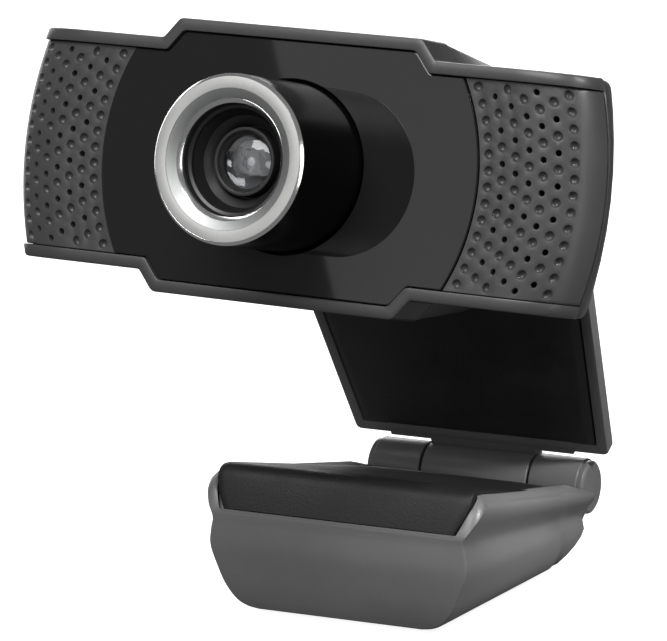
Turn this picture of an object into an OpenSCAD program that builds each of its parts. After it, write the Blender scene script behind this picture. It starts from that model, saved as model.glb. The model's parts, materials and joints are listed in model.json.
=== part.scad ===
// Clip-on webcam: a wide stepped head with perforated wings and a ring-focused lens,
// carried by a swivel neck on a rubber-faced plate that is hinged to a wedge-shaped foot.
// Millimetres. +X runs along the head and the clip hinge, the lens faces -Y, +Z is up.
// The origin is the centre of the foot's rest face.

/* [Head] */
// Full width of the head, end to end
head_w = 86; // [80:0.2:100]
// Height of the raised middle of the head
raised_h = 35.8; // [32:0.2:42]
// Height of the two wings
wing_h = 30.4; // [26:0.2:31]
// Half width of the raised middle at its top corner
raised_half_w = 17.9; // [16:0.1:22]
// Width of the rails along the top and bottom of the front
rail_w = 1.6; // [1:0.1:2.4]
// How far the rails stand in front of the faceplate
rail_proud = 0.5; // [0.2:0.1:1]
// Depth of the wings behind the faceplate
wing_depth = 15.4; // [13.5:0.2:18]
// Depth of the raised middle behind the faceplate
head_depth = 19.6; // [18.5:0.2:24]
// Thickness of the head's moulded walls
head_wall = 1.6; // [1.2:0.1:2]
// Radius of the faceplate's two round ends
face_r = 27.7; // [26:0.1:28.4]
// Thickness of the faceplate
face_t = 1.2; // [0.8:0.1:1.5]

/* [Perforation] */
// Columns of holes in each wing
dot_columns = 7; // [3:1:7]
// Radius of the innermost column about the lens axis
dot_r0 = 29.1; // [29:0.1:30]
// Distance between columns
dot_col_pitch = 1.9; // [1.8:0.05:2]
// Distance between holes in a column
dot_row_pitch = 2.083; // [1.9:0.01:2.2]
// Diameter of each through hole
dot_hole_d = 0.8; // [0.6:0.05:1.1]

/* [Lens] */
// Outer diameter of the lens tube
tube_d = 21.8; // [20:0.1:23]
// How far the trim ring stands in front of the faceplate
tube_reach = 15; // [12:0.5:18]
// Opening of the trim ring
ring_open_d = 14.4; // [13.6:0.1:16]
// Thread diameter of the lens
lens_d = 12; // [11.6:0.1:12.4]
// Depth of the lens lip behind the trim ring
lens_inset = 4.2; // [3.5:0.1:5]

/* [Pose] */
// Forward lean of the clip plate
clip_lean = 29.2; // [20:0.1:32]
// Turn of the head to its right
head_pan = 4.4; // [0:0.2:8]
// Upward tilt of the head
head_tilt = 12.7; // [5:0.1:18]

/* [Clip and foot] */
// Length of the hinge barrel without its caps
barrel_l = 31.2; // [28:0.2:34]
// Diameter of the hinge barrel
barrel_d = 8; // [7.4:0.1:9]
// Diameter of the hinge pin
hinge_pin_d = 3; // [2.5:0.1:3.4]
// Length of the middle knuckle, which belongs to the plate
mid_knuckle_l = 16; // [13:0.5:18]
// Height of the hinge axis above the desk
hinge_z = 9.5; // [9:0.1:11]
// Half width of the plate at the hinge
plate_half_w0 = 18.8; // [17.5:0.1:20]
// Gain in half width per millimetre along the plate
plate_taper = 0.088; // [0:0.001:0.12]
// Thickness of the plate
plate_t = 2.4; // [2.2:0.1:4.2]
// Length of the plate from the hinge axis
plate_l = 46; // [44:0.5:48]
// Full depth of the foot
foot_d = 47.4; // [46:0.2:54]
// Height of the foot's front face below the pad
lip_h = 14.5; // [13:0.1:16]
// Height of the foot's ridge above the desk
ridge_h = 19.8; // [18.5:0.1:22]
// Half width of the foot at its widest
foot_half_w = 20.2; // [19:0.1:22]
// Thickness of the foot's moulded walls
foot_wall = 1.8; // [1.4:0.1:2.2]

/* [Clearances] */
// Gap between parts that move past each other
gap = 0.35; // [0.3:0.05:0.45]
// Radial clearance of a pin in a bore it turns in
run_fit = 0.04; // [0.02:0.01:0.08]
// Clearance of a part that drops into a recess
seat_fit = 0.1; // [0.05:0.05:0.2]

/* [Hidden] */
$fn = 64;
EPS = 0.02;

// clip hinge
barrel_r = barrel_d / 2;
hinge_pin_r = hinge_pin_d / 2;
foot_front = -foot_d / 2 - 0.7;
foot_rear = foot_d / 2 - 0.7;
hinge_y = foot_rear + 1;
cap_r = barrel_r - 0.3;
cap_t = 0.9;
mid_half = mid_knuckle_l / 2;
bush_r = hinge_pin_r + 0.8;
knuckle_room_r = barrel_r + 0.75;
cap_spigot_r = cap_r - 0.6;
cap_spigot_l = 0.6;

// foot
sole_t = 0.8;
cover_t = 1.6;
foot_bottom = 0.5;
foot_round = 5;
foot_corner_r = 3;
foot_base_half_w = foot_half_w - 4.8;
foot_rear_half_w = barrel_l / 2 + 1.6;
pad_t = 1.6;
pad_side = 1.3;
pad_round = 3;
pad_front = foot_front + 0.3;
pad_rear = hinge_y - barrel_r - 0.8;
pad_rear_z = hinge_z + 0.7;
ridge_y = foot_front + 3;
cover_y0 = foot_front + 4;
cover_y1 = foot_rear - 14;
cover_half_w = 10.6;
insert_r = 4.2;
insert_l = 6;
insert_thread_r = 2.75;
foot_screw_y = [cover_y0 + 3.4, cover_y1 - 3.4];
foot_screw_x = 7.2;
foot_screw_r = 1;

// plate, in the clip frame: z along the plate, -y towards the jaw; its back is tangent to the barrel
plate_back = barrel_r;
plate_front = plate_back - plate_t;
plate_z0 = barrel_r + 1.6;
plate_corner = 2;
skirt_half_w = 14;
skirt_z0 = barrel_r + gap;
rim_w = 1.6;
liner_depth = 1.2;
liner_proud = 0.4;

// swivel and tilt
swivel_reach = plate_l + 1.65;
swivel_back = 2.25;
swivel_y = hinge_y - swivel_reach * sin(clip_lean) + swivel_back * cos(clip_lean);
swivel_z = hinge_z + swivel_reach * cos(clip_lean) + swivel_back * sin(clip_lean);
swivel_boss_r = 6;
swivel_boss_h = 6;
swivel_pin_r = 2;
swivel_head_r = swivel_pin_r + 1.2;
swivel_head_t = 1.4;
swivel_washer_t = 0.6;
swivel_nut_t = 2;
eye_h = 7;
neck_reach = 11.9;
neck_rise = 5.1;
tilt_pin_r = 1.5;
tilt_knuckle_r = 4.1;
tilt_knuckle_half = 4.8;
tilt_washer_t = 0.5;
tilt_lug_t = 2.8;
tilt_lug_x = tilt_knuckle_half + tilt_washer_t + gap;
face_to_tilt = head_depth + 5.4;

// head, in the head frame: y = 0 is the faceplate's front, -y is forward
raised_half_h = raised_h / 2;
wing_half_h = wing_h / 2;
step_slope = 0.83;
step_inset = 0.48;
step_dx = (raised_half_h - wing_half_h) * step_slope;
end_round = 5.2;
end_taper = 26.1;
back_round = 3;
shoulder_x = head_w / 2 - 9;
shoulder_r = 13.6;
shoulder_a = 27;
end_cy = shoulder_r * (1 - cos(shoulder_a)) + end_round * cos(shoulder_a);
end_cx = shoulder_x + shoulder_r * sin(shoulder_a) - end_round * sin(shoulder_a);
back_cy = wing_depth - back_round;
back_cx = end_cx + (end_cy - back_cy) * tan(end_taper) + (end_round - back_round) / cos(end_taper);
end_bulge_r = 48;
end_bulge_cx = end_cx + end_round - end_bulge_r;
split_y = end_cy;
panel_t = 2.6;

// lens tube and optics
tube_r = tube_d / 2;
tube_wall = 1.3;
tube_flange_r = tube_r + 1.1;
tube_flange_y = panel_t + 0.2;
tube_flange_t = 1.2;
ring_t = 1.4;
ring_open_r = ring_open_d / 2;
ring_flat_r = ring_open_r + 1.8;
bevel = 0.35;
lens_r = lens_d / 2;
lip_r = 4.4;
lip_y = -tube_reach + lens_inset;
lens_back_y = 5.6;
hood_back_y = lip_y + 2.2;
glass_r = 3.3;
stack_r = 3.4;
rear_open_r = 2.6;
sensor_w = 8;
pcb_y = 11.4;
pcb_t = 1.2;
pcb_w = 60;
pcb_h = 24;
holder_w = 17;
holder_y0 = tube_flange_y + tube_flange_t + gap;
filter_y = 7.4;
screw_x = 22;
holder_screw_x = 10.4;
boss_r = 2.1;
screw_r = 0.9;
screw_head_r = 1.7;
screw_head_t = 1.1;
gland_x = 26;
gland_z = -5;
gland_r = 2.6;
gland_collar_r = 3.3;
mic_x = 23.5;
cloth_x = 32;
cloth_w = 6;
cloth_t = 0.4;
cloth_h = 22;
shell_screw_x = head_w / 2 - 8.85;
shell_boss_r = 1.8;
shell_boss_y1 = wing_depth - back_round;
dot_margin = 0.9;
retainer_r = tube_flange_r + 2.6;
retainer_y = tube_flange_y + tube_flange_t + gap;
retainer_screw_r = tube_flange_r + 1.4;
retainer_screw_d = 1;
retainer_angles = [90, 210, 330];

// ---- places -------------------------------------------------------------------------------

module at_clip() { translate([0, hinge_y, hinge_z]) rotate([clip_lean, 0, 0]) children(); }
module at_neck() { translate([0, swivel_y, swivel_z]) rotate([0, 0, -head_pan]) children(); }
module at_head() {
  at_neck() translate([0, -neck_reach, neck_rise]) rotate([-head_tilt, 0, 0])
    translate([0, -face_to_tilt, 0]) children();
}

// ---- shared shapes ------------------------------------------------------------------------

function polar(r, a) = r * [cos(a), sin(a)];
function arc(c, r, a0, a1, n) = [for (i = [0:n]) c + polar(r, a0 + (a1 - a0) * i / n)];
function flip(pts) = [for (i = [len(pts) - 1:-1:0]) [-pts[i][0], pts[i][1]]];

// cylinder along X, centred
module rod_x(r, l) { rotate([0, 90, 0]) cylinder(r = r, h = l, center = true); }
// cylinder along +Y, starting at y0
module rod_y(r, y0, l) { translate([0, y0, 0]) rotate([-90, 0, 0]) cylinder(r = r, h = l); }
// ring turned about the lens axis from points [radius, y]
module turned(pts) { rotate([-90, 0, 0]) rotate_extrude($fn = 96) polygon(pts); }
// extrude a [y, z] outline along X, centred
module along_x(l) { translate([-l / 2, 0, 0]) rotate([90, 0, 90]) linear_extrude(l) children(); }
// extrude an [x, z] outline along +Y, from y0 to y1
module along_y(y0, y1) { translate([0, y1, 0]) rotate([90, 0, 0]) linear_extrude(y1 - y0) children(); }
// screw with a pan head: shaft along -Z below a head that sits on z = 0
module screw(r, l, head_r, head_t) {
  translate([0, 0, -l]) cylinder(r = r, h = l + EPS, $fn = 32);
  difference() {
    cylinder(r = head_r, h = head_t, $fn = 32);
    for (a = [0, 90]) rotate([0, 0, a])
      translate([-head_r * 0.6, -0.18, head_t * 0.5]) cube([head_r * 1.2, 0.36, head_t]);
  }
}

// ---- foot ---------------------------------------------------------------------------------

// front outline of the foot; inset draws in its sides and base, never its top
module foot_front_2d(inset) {
  w0 = foot_base_half_w - inset;
  w1 = foot_half_w - inset;
  r = foot_round;
  corner = foot_corner_r;
  pts = concat(
    arc([w0 - r + 1.2, foot_bottom + inset + r], r, -90, -15, 10),
    arc([w1 - corner, ridge_h - corner - inset], corner, 0, 75, 6),
    [[w1 - corner, ridge_h - inset]],
    inset > 0 ? [[w1 - corner, ridge_h + 1]] : []);
  polygon(concat(flip(pts), pts));
}
// plan of the foot, narrower at the hinge
module foot_plan_2d(inset) {
  polygon([
    [-foot_half_w - 1 + inset, foot_front - 1], [foot_half_w + 1 - inset, foot_front - 1],
    [foot_rear_half_w - inset, foot_rear + 1], [-foot_rear_half_w + inset, foot_rear + 1]]);
}
// side outline of shell and pad together
module foot_side_2d() {
  polygon(concat(
    arc([foot_front + 3, foot_bottom + 3], 3, 180, 270, 6),
    arc([foot_rear - 9.5, foot_bottom + 9.5], 9.5, 270, 345, 10),
    [[pad_rear, pad_rear_z]],
    arc([ridge_y + 0.7, ridge_h - pad_round], pad_round, 78, 150, 6)));
}
// side outline of the pocket that the pad fills, drawn in by inset at the bottom
module foot_pad_2d(inset) {
  polygon(concat(
    [[pad_rear - inset, pad_rear_z], [pad_rear - inset, pad_rear_z - pad_t + inset],
     [ridge_y + 1.6, ridge_h - pad_t - 0.6 + inset], [ridge_y + 0.2, ridge_h - pad_t - 1.8 + inset],
     [pad_front + 1.8 - inset, lip_h + inset], [foot_front - 1, lip_h + inset]],
    [[foot_front - 1, ridge_h + 2], [pad_rear - inset, ridge_h + 2]]));
}
module foot_solid() {
  intersection() {
    along_x(2 * foot_half_w + 2) foot_side_2d();
    along_y(foot_front - 1, foot_rear + 1) foot_front_2d(0);
    translate([0, 0, -1]) linear_extrude(ridge_h + 2) foot_plan_2d(0);
  }
}
module foot_pad_solid(inset) {
  intersection() {
    along_x(2 * foot_half_w + 2) intersection() { foot_side_2d(); foot_pad_2d(inset); }
    along_y(foot_front - 1, foot_rear + 1) foot_front_2d(pad_side + inset);
    translate([0, 0, -1]) linear_extrude(ridge_h + 2) foot_plan_2d(pad_side + inset);
  }
}
module foot_cavity() {
  ledge_w = 1.2;
  floor_z = sole_t + cover_t + 1.2;
  intersection() {
    translate([-foot_base_half_w + foot_wall, foot_front + foot_wall, floor_z])
      cube([2 * (foot_base_half_w - foot_wall), foot_d - 12, ridge_h]);
    along_x(2 * foot_half_w) polygon([
      [foot_front + foot_wall + 0.6, -1], [foot_rear - 11, -1], [foot_rear - 11, pad_rear_z - 2.6],
      [ridge_y + 1, ridge_h - pad_t - 4.2], [foot_front + foot_wall + 0.6, lip_h - 2.2]]);
    along_y(foot_front, foot_rear) foot_front_2d(foot_wall);
  }
  translate([-cover_half_w + ledge_w, cover_y0 + ledge_w, 0])
    cube([2 * (cover_half_w - ledge_w), cover_y1 - cover_y0 - 2 * ledge_w, floor_z + EPS]);
}
module foot_cover_pocket(inset) {
  translate([-cover_half_w + inset, cover_y0 + inset, -1])
    cube([2 * (cover_half_w - inset), cover_y1 - cover_y0 - 2 * inset, 1 + sole_t + cover_t]);
}
module foot_shell() {
  color("#5a5a5c") difference() {
    union() {
      difference() {
        foot_solid();
        foot_pad_solid(0);
        foot_cavity();
      }
      intersection() {
        foot_cavity();
        for (x = [-foot_screw_x, foot_screw_x], y = foot_screw_y)
          translate([x, y, sole_t + cover_t]) cylinder(r = boss_r, h = ridge_h);
      }
      for (s = [-1, 1]) translate([s * (barrel_l / 2 + mid_half + gap) / 2, 0, 0]) {
        translate([0, hinge_y, hinge_z]) rod_x(barrel_r, barrel_l / 2 - mid_half - gap);
        along_x(barrel_l / 2 - mid_half - gap) polygon([
          [foot_rear - 6, hinge_z - 4.2], [hinge_y, hinge_z - barrel_r + 0.4],
          [hinge_y, hinge_z + 1], [foot_rear - 6, hinge_z]]);
      }
    }
    foot_cover_pocket(0);
    foot_pad_solid(0);
    translate([0, hinge_y, hinge_z]) {
      rod_x(knuckle_room_r, 2 * (mid_half + gap));
      rod_x(hinge_pin_r, barrel_l + 1);
    }
    for (x = [-foot_screw_x, foot_screw_x], y = foot_screw_y)
      translate([x, y, 0]) cylinder(r = foot_screw_r, h = sole_t + cover_t + 5.2);
    for (s = [-1, 1]) {
      translate([s * barrel_l / 2, hinge_y, hinge_z]) rod_x(cap_spigot_r, 2 * cap_spigot_l);
      translate([s * (barrel_l / 2 + 2), hinge_y, hinge_z]) rod_x(cap_r + seat_fit, 4);
    }
  }
}
module foot_base_cover() {
  color("#2a2a2c") difference() {
    union() {
      translate([0, 0, sole_t]) intersection() {
        translate([0, 0, -sole_t]) foot_cover_pocket(seat_fit);
        translate([-50, -50, 0]) cube([100, 100, cover_t]);
      }
      translate([0, 0, sole_t]) cylinder(r = insert_r + 1.6, h = insert_l + 1);
    }
    translate([0, 0, sole_t]) cylinder(r = insert_r, h = insert_l);
    translate([0, 0, -1]) cylinder(r = insert_thread_r + 1, h = 20);
    for (x = [-foot_screw_x, foot_screw_x], y = foot_screw_y) translate([x, y, 0]) {
      cylinder(r = foot_screw_r + 0.2, h = 5);
      translate([0, 0, sole_t - 1]) cylinder(r = screw_head_r + 0.2, h = 1 + 0.6);
    }
  }
}
module foot_pad() {
  color("#1b1b1c") difference() {
    foot_pad_solid(0);
    translate([0, hinge_y, hinge_z]) rod_x(knuckle_room_r, 2 * (mid_half + gap));
  }
}
module foot_sole() {
  color("#202022") difference() {
    translate([-cover_half_w + 0.4, cover_y0 + 0.4, 0])
      cube([2 * cover_half_w - 0.8, cover_y1 - cover_y0 - 0.8, sole_t]);
    translate([0, 0, -1]) cylinder(r = insert_r + 1, h = 3);
    for (x = [-foot_screw_x, foot_screw_x], y = foot_screw_y)
      translate([x, y, -1]) cylinder(r = screw_head_r + 0.2, h = 3);
  }
}
module foot_screws() {
  color("silver") for (x = [-foot_screw_x, foot_screw_x], y = foot_screw_y)
    translate([x, y, sole_t + 0.6]) rotate([180, 0, 0]) screw(foot_screw_r, 5.6, screw_head_r, 0.6);
}
module tripod_insert() {
  color("#b08d4a") translate([0, 0, sole_t]) difference() {
    cylinder(r = insert_r, h = insert_l);
    translate([0, 0, -1]) cylinder(r = insert_thread_r, h = insert_l + 2);
  }
}

// ---- clip hinge ---------------------------------------------------------------------------

module hinge_pin() {
  color("silver") translate([0, hinge_y, hinge_z]) rod_x(hinge_pin_r, barrel_l - 1.6);
}
module hinge_cap(s) {
  color("#48484a") translate([s * barrel_l / 2, hinge_y, hinge_z]) rotate([0, s * 90, 0]) {
    cylinder(r = cap_r, h = cap_t);
    translate([0, 0, -cap_spigot_l]) cylinder(r = cap_spigot_r, h = cap_spigot_l + EPS);
  }
}
module hinge_cap_left() { hinge_cap(-1); }
module hinge_cap_right() { hinge_cap(1); }
module hinge_bush() {
  color("#d8d4c8") translate([0, hinge_y, hinge_z]) difference() {
    rod_x(bush_r, mid_knuckle_l);
    rod_x(hinge_pin_r + run_fit, mid_knuckle_l + 1);
  }
}

// ---- plate --------------------------------------------------------------------------------

// front outline of the plate, [x, z] in the clip frame, drawn in by inset
module plate_2d(inset) {
  z0 = plate_z0 + inset;
  z1 = plate_l - inset;
  w0 = plate_half_w0 + plate_taper * z0 - inset;
  w1 = plate_half_w0 + plate_taper * z1 - inset;
  c = plate_corner;
  polygon([[-w0, z0], [w0, z0], [w1, z1 - c], [w1 - c, z1], [c - w1, z1], [-w1, z1 - c]]);
}
module plate_frame() {
  color("#4a4a4d") difference() {
    union() {
      at_clip() {
        along_y(plate_front, plate_back) {
          plate_2d(0);
          translate([-skirt_half_w, skirt_z0]) square([2 * skirt_half_w, plate_z0 + 1 - skirt_z0]);
          translate([-mid_half, 0]) square([mid_knuckle_l, plate_z0 + 1]);
        }
        rod_x(barrel_r, mid_knuckle_l);
      }
      at_neck() translate([0, 0, -swivel_boss_h]) cylinder(r = swivel_boss_r, h = swivel_boss_h);
    }
    at_clip() along_y(plate_front - 1, plate_front + liner_depth) plate_2d(rim_w);
    at_clip() rod_x(bush_r, mid_knuckle_l + 1);
    at_neck() translate([0, 0, -swivel_boss_h - 1]) cylinder(r = swivel_pin_r, h = swivel_boss_h + 2);
    at_neck() cylinder(r = swivel_boss_r + 0.6, h = 20);
    at_neck() translate([0, 0, -swivel_boss_h - 2])
      cylinder(r = swivel_head_r + seat_fit, h = 2);
  }
}
module plate_liner() {
  color("#1e1e20") difference() {
    at_clip() union() {
      along_y(plate_front, plate_front + liner_depth) plate_2d(rim_w + seat_fit);
      along_y(plate_front - liner_proud, plate_front + EPS) plate_2d(rim_w + 0.6);
    }
    at_neck() translate([0, 0, -swivel_boss_h - 2]) cylinder(r = swivel_boss_r + 0.6, h = 20);
  }
}

// ---- neck ---------------------------------------------------------------------------------

module swivel_pin() {
  color("silver") at_neck() {
    translate([0, 0, -swivel_boss_h - swivel_head_t]) cylinder(r = swivel_head_r, h = swivel_head_t);
    translate([0, 0, -swivel_boss_h - EPS]) cylinder(r = swivel_pin_r, h = swivel_boss_h + eye_h + 4);
  }
}
module swivel_washer() {
  color("silver") at_neck() translate([0, 0, 2 * gap + eye_h]) difference() {
    cylinder(r = swivel_pin_r + 2.2, h = swivel_washer_t);
    translate([0, 0, -1]) cylinder(r = swivel_pin_r, h = 3);
  }
}
module swivel_nut() {
  color("silver") at_neck() translate([0, 0, 2 * gap + eye_h + swivel_washer_t]) difference() {
    cylinder(r = swivel_pin_r + 1.8, h = swivel_nut_t, $fn = 6);
    translate([0, 0, -1]) cylinder(r = swivel_pin_r, h = 4);
  }
}
module neck_block() {
  color("#3c3c3f") at_neck() difference() {
    union() {
      translate([0, 0, gap]) cylinder(r = swivel_boss_r, h = eye_h);
      translate([-tilt_knuckle_half + 0.6, -neck_reach, gap + 1])
        cube([2 * tilt_knuckle_half - 1.2, neck_reach - 2, eye_h - 1]);
      translate([0, -neck_reach, neck_rise]) rod_x(tilt_knuckle_r, 2 * tilt_knuckle_half);
    }
    translate([0, 0, -1]) cylinder(r = swivel_pin_r + run_fit, h = 20);
    translate([0, -neck_reach, neck_rise]) rod_x(tilt_pin_r + run_fit, 30);
    translate([0, -neck_reach, neck_rise]) for (s = [-1, 1])
      translate([s * (tilt_knuckle_half + 2.5), 0, 0]) rod_x(tilt_knuckle_r + 0.5, 5);
  }
}
module tilt_screw() {
  outer_x = tilt_lug_x + tilt_lug_t;
  color("silver") at_head() translate([0, face_to_tilt, 0]) {
    translate([0.9, 0, 0]) rod_x(tilt_pin_r, 2 * outer_x + 1.8);
    translate([-outer_x, 0, 0]) rotate([0, -90, 0]) screw(tilt_pin_r, EPS, 2.8, 1.3);
  }
}
module tilt_nut() {
  color("silver") at_head() translate([tilt_lug_x + tilt_lug_t, face_to_tilt, 0])
    rotate([0, 90, 0]) difference() {
      cylinder(r = 3, h = 1.6, $fn = 6);
      translate([0, 0, -1]) cylinder(r = tilt_pin_r, h = 4);
    }
}
module tilt_washers() {
  color("silver") at_head() for (s = [-1, 1])
    translate([s * (tilt_lug_x - tilt_washer_t / 2), face_to_tilt, 0]) difference() {
      rod_x(tilt_knuckle_r - 0.6, tilt_washer_t);
      rod_x(tilt_pin_r, 2);
    }
}

// ---- head shells --------------------------------------------------------------------------

// plan of the wings, [x, y], drawn in by inset
module wing_plan_2d(inset) {
  pts = concat(
    arc([shoulder_x, shoulder_r], shoulder_r - inset, -90, -90 + shoulder_a, 8),
    arc([end_cx, end_cy], end_round - inset, -90 + shoulder_a, end_taper, 10),
    arc([back_cx, back_cy], back_round - inset, end_taper, 90, 5));
  polygon(concat(pts, flip(pts)));
}
// bulged ends shared by every front outline, drawn in by inset
module ends_2d(inset) {
  intersection() {
    translate([end_bulge_cx, 0]) circle(r = end_bulge_r - inset, $fn = 180);
    translate([-end_bulge_cx, 0]) circle(r = end_bulge_r - inset, $fn = 180);
  }
}
// front outline of the wings, [x, z], drawn in by inset
module wing_outline_2d(inset) {
  intersection() {
    square([head_w + 4, 2 * (wing_half_h - inset)], center = true);
    ends_2d(inset);
  }
}
// front outline of the raised middle, drawn in by inset; the steps slope down to the wings
function raised_top(inset) = [raised_half_w - inset * step_inset, raised_half_h - inset];
function raised_foot(inset) = [raised_half_w + step_dx - inset * step_inset, wing_half_h - inset];
module raised_outline_2d(inset) {
  a = raised_top(inset);
  b = raised_foot(inset);
  polygon([[-a[0], a[1]], a, b, [b[0], -b[1]], [a[0], -a[1]], -a, -b, [-b[0], b[1]]]);
}
// stepped front outline of the whole head, drawn in by inset
module head_outline_2d(inset) {
  a = raised_top(inset);
  b = raised_foot(inset);
  w = head_w / 2 + 2;
  intersection() {
    polygon([
      [-w, b[1]], [-b[0], b[1]], [-a[0], a[1]], a, b, [w, b[1]],
      [w, -b[1]], [b[0], -b[1]], [a[0], -a[1]], -a, -b, [-w, -b[1]]]);
    ends_2d(inset);
  }
}
// outer form of the wings between y0 and y1
module wings(inset, side_inset, y0, y1) {
  intersection() {
    translate([0, 0, -30]) linear_extrude(60) wing_plan_2d(inset);
    along_y(y0, y1) wing_outline_2d(side_inset);
  }
}
module front_panel() {
  hole_r = tube_r + gap;
  color("#555557") difference() {
    union() {
      // wings, middle and rails, down to the parting line
      intersection() {
        translate([0, -rail_proud, -30]) linear_extrude(60) wing_plan_2d(0);
        along_y(-rail_proud - 1, split_y) head_outline_2d(0);
      }
      along_y(-rail_proud, split_y) raised_outline_2d(0);
      for (s = [-1, 1]) translate([s * shell_screw_x, 0, 0]) rod_y(shell_boss_r, 4, shell_boss_y1 - 4);
    }
    // front recess inside the rails
    difference() {
      along_y(-rail_proud - 1, split_y) head_outline_2d(rail_w);
      translate([0, 0, -30]) linear_extrude(60) wing_plan_2d(0);
    }
    // seat of the faceplate
    along_y(-1, face_t) face_2d(0);
    // inside
    difference() {
      intersection() {
        translate([0, 1, -30]) linear_extrude(60) wing_plan_2d(panel_t - 1);
        along_y(panel_t, split_y + 1) head_outline_2d(head_wall);
      }
      for (s = [-1, 1]) translate([s * shell_screw_x, 0, 0]) rod_y(shell_boss_r, 0, 20);
    }
    rod_y(hole_r, -2, 20);
    for (s = [-1, 1]) translate([s * shell_screw_x, 0, 0]) rod_y(screw_r, 4.4, 20);
    for (a = retainer_angles) rotate([0, a, 0]) translate([retainer_screw_r, 0, 0])
      rod_y(retainer_screw_d / 2, panel_t - 1.2, 2);
    // sound holes in the wings
    for (side = [-1, 1], c = [0:dot_columns - 1], k = [-6:6]) {
      stagger = c % 2;
      z = (k + stagger / 2) * dot_row_pitch;
      r = dot_r0 + dot_col_pitch * c;
      k_top = c % 2 == 1 ? 5 : 6;
      hole_first = c == 1 || c == 4;
      in_pattern = c != 0 && c != dot_columns - 1;
      open = in_pattern && ((k_top - k) % 2 == 0) == hole_first;
      if (open && abs(z) < wing_half_h - rail_w - dot_margin)
        translate([side * sqrt(r * r - z * z), 0, z]) rod_y(dot_hole_d / 2, -1, panel_t + 1.4);
    }
  }
}
// faceplate outline: the middle between the rails with round ends, drawn in by inset
module face_2d(inset) {
  intersection() {
    head_outline_2d(rail_w + inset);
    circle(r = face_r - inset, $fn = 128);
  }
}
module faceplate() {
  color("#0c0c0e") difference() {
    along_y(0, face_t - 0.2) face_2d(seat_fit);
    rod_y(tube_r + gap + 0.1, -2, 20);
  }
}
module faceplate_tape() {
  color("#303030") difference() {
    along_y(face_t - 0.2, face_t) face_2d(0.6);
    rod_y(tube_r + 2, -2, 20);
  }
}
module acoustic_cloth() {
  color("#18181a") for (s = [-1, 1]) difference() {
    translate([s * cloth_x - cloth_w / 2, panel_t + seat_fit, -cloth_h / 2])
      cube([cloth_w, cloth_t, cloth_h]);
    translate([s * shell_screw_x, 0, 0]) rod_y(shell_boss_r + 0.3, 0, 10);
  }
}
module rear_shell() {
  taper = 1.9;
  color("#39393b") difference() {
    union() {
      difference() {
        union() {
          wings(0, 0, split_y + 0.05, wing_depth);
          intersection() {
            along_y(split_y + 0.05, head_depth) raised_outline_2d(0);
            along_x(60) polygon([
              [0, -raised_half_h - 0.7], [head_depth, -raised_half_h + taper],
              [head_depth, raised_half_h - taper], [0, raised_half_h + 0.7]]);
          }
        }
        wings(head_wall, head_wall, split_y - 1, wing_depth - head_wall);
        along_y(split_y - 1, head_depth - head_wall) raised_outline_2d(head_wall + 1.6);
      }
      // screw bosses for the board and the shells
      for (sx = [-1, 1], sz = [-1, 1]) translate([sx * screw_x, 0, sz * (pcb_h / 2 - 2.4)])
        rod_y(boss_r, pcb_y + pcb_t, wing_depth - pcb_y - pcb_t - 0.5);
      // lugs for the tilt pin
      for (s = [-1, 1]) translate([s * (tilt_lug_x + tilt_lug_t / 2), 0, 0]) {
        translate([0, face_to_tilt, 0]) rod_x(tilt_knuckle_r, tilt_lug_t);
        along_x(tilt_lug_t) polygon([
          [head_depth - 1, -tilt_knuckle_r - 1], [face_to_tilt, -tilt_knuckle_r],
          [face_to_tilt, tilt_knuckle_r], [head_depth - 1, tilt_knuckle_r + 1]]);
      }
    }
    translate([0, face_to_tilt, 0]) rod_x(tilt_pin_r, 40);
    for (sx = [-1, 1], sz = [-1, 1]) translate([sx * screw_x, 0, sz * (pcb_h / 2 - 2.4)])
      rod_y(screw_r, pcb_y, wing_depth - pcb_y - 1.2);
    translate([gland_x, 0, gland_z]) rod_y(gland_r, wing_depth - 4, 10);
    for (s = [-1, 1]) translate([s * shell_screw_x, 0, 0]) {
      rod_y(screw_r + 0.2, wing_depth - 4, 10);
      rod_y(screw_head_r + 0.2, wing_depth - 0.9, 4);
    }
  }
}
module cable_gland() {
  color("#161617") translate([gland_x, 0, gland_z]) difference() {
    union() {
      rod_y(gland_r, wing_depth - head_wall, head_wall);
      rod_y(gland_collar_r, wing_depth - head_wall - 0.9, 0.9);
      rod_y(gland_collar_r, wing_depth, 1.2);
    }
    rod_y(1.6, 0, 40);
  }
}

// ---- electronics --------------------------------------------------------------------------

module on_board(x, z, y1, size) { translate([x - size[0] / 2, y1 - size[1], z - size[2] / 2]) cube(size); }

module main_board() {
  color("#1d4d33") difference() {
    translate([-pcb_w / 2, pcb_y, -pcb_h / 2]) cube([pcb_w, pcb_t, pcb_h]);
    for (sx = [-1, 1], sz = [-1, 1]) translate([sx * screw_x, 0, sz * (pcb_h / 2 - 2.4)])
      rod_y(screw_r + 0.2, pcb_y - 1, 4);
    for (s = [-1, 1]) translate([s * holder_screw_x, 0, 0]) rod_y(screw_r + 0.1, pcb_y - 1, 4);
  }
}
module image_sensor() {
  color("#3a3f46") on_board(0, 0, pcb_y, [sensor_w, 1.2, sensor_w]);
}
module video_chip() {
  color("#17171a") on_board(-17.2, 1, pcb_y, [7, 0.9, 7]);
}
module board_components() {
  color("#8a7a5c") {
    for (i = [0:4]) on_board(14 + 2.1 * i, 7.4, pcb_y, [1.2, 0.6, 0.8]);
    for (i = [0:4]) on_board(-26.5, -7 + 2.6 * i, pcb_y, [0.8, 0.6, 1.4]);
    on_board(17, -2.2, pcb_y, [3.2, 1, 2.5]);
    on_board(-16.5, -6.8, pcb_y, [5, 1.1, 2]);
  }
}
module cable_socket() {
  color("#e6e2d6") translate([7, pcb_y + pcb_t, gland_z - 2.4]) cube([7.2, 2.4, 4.8]);
}
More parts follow.
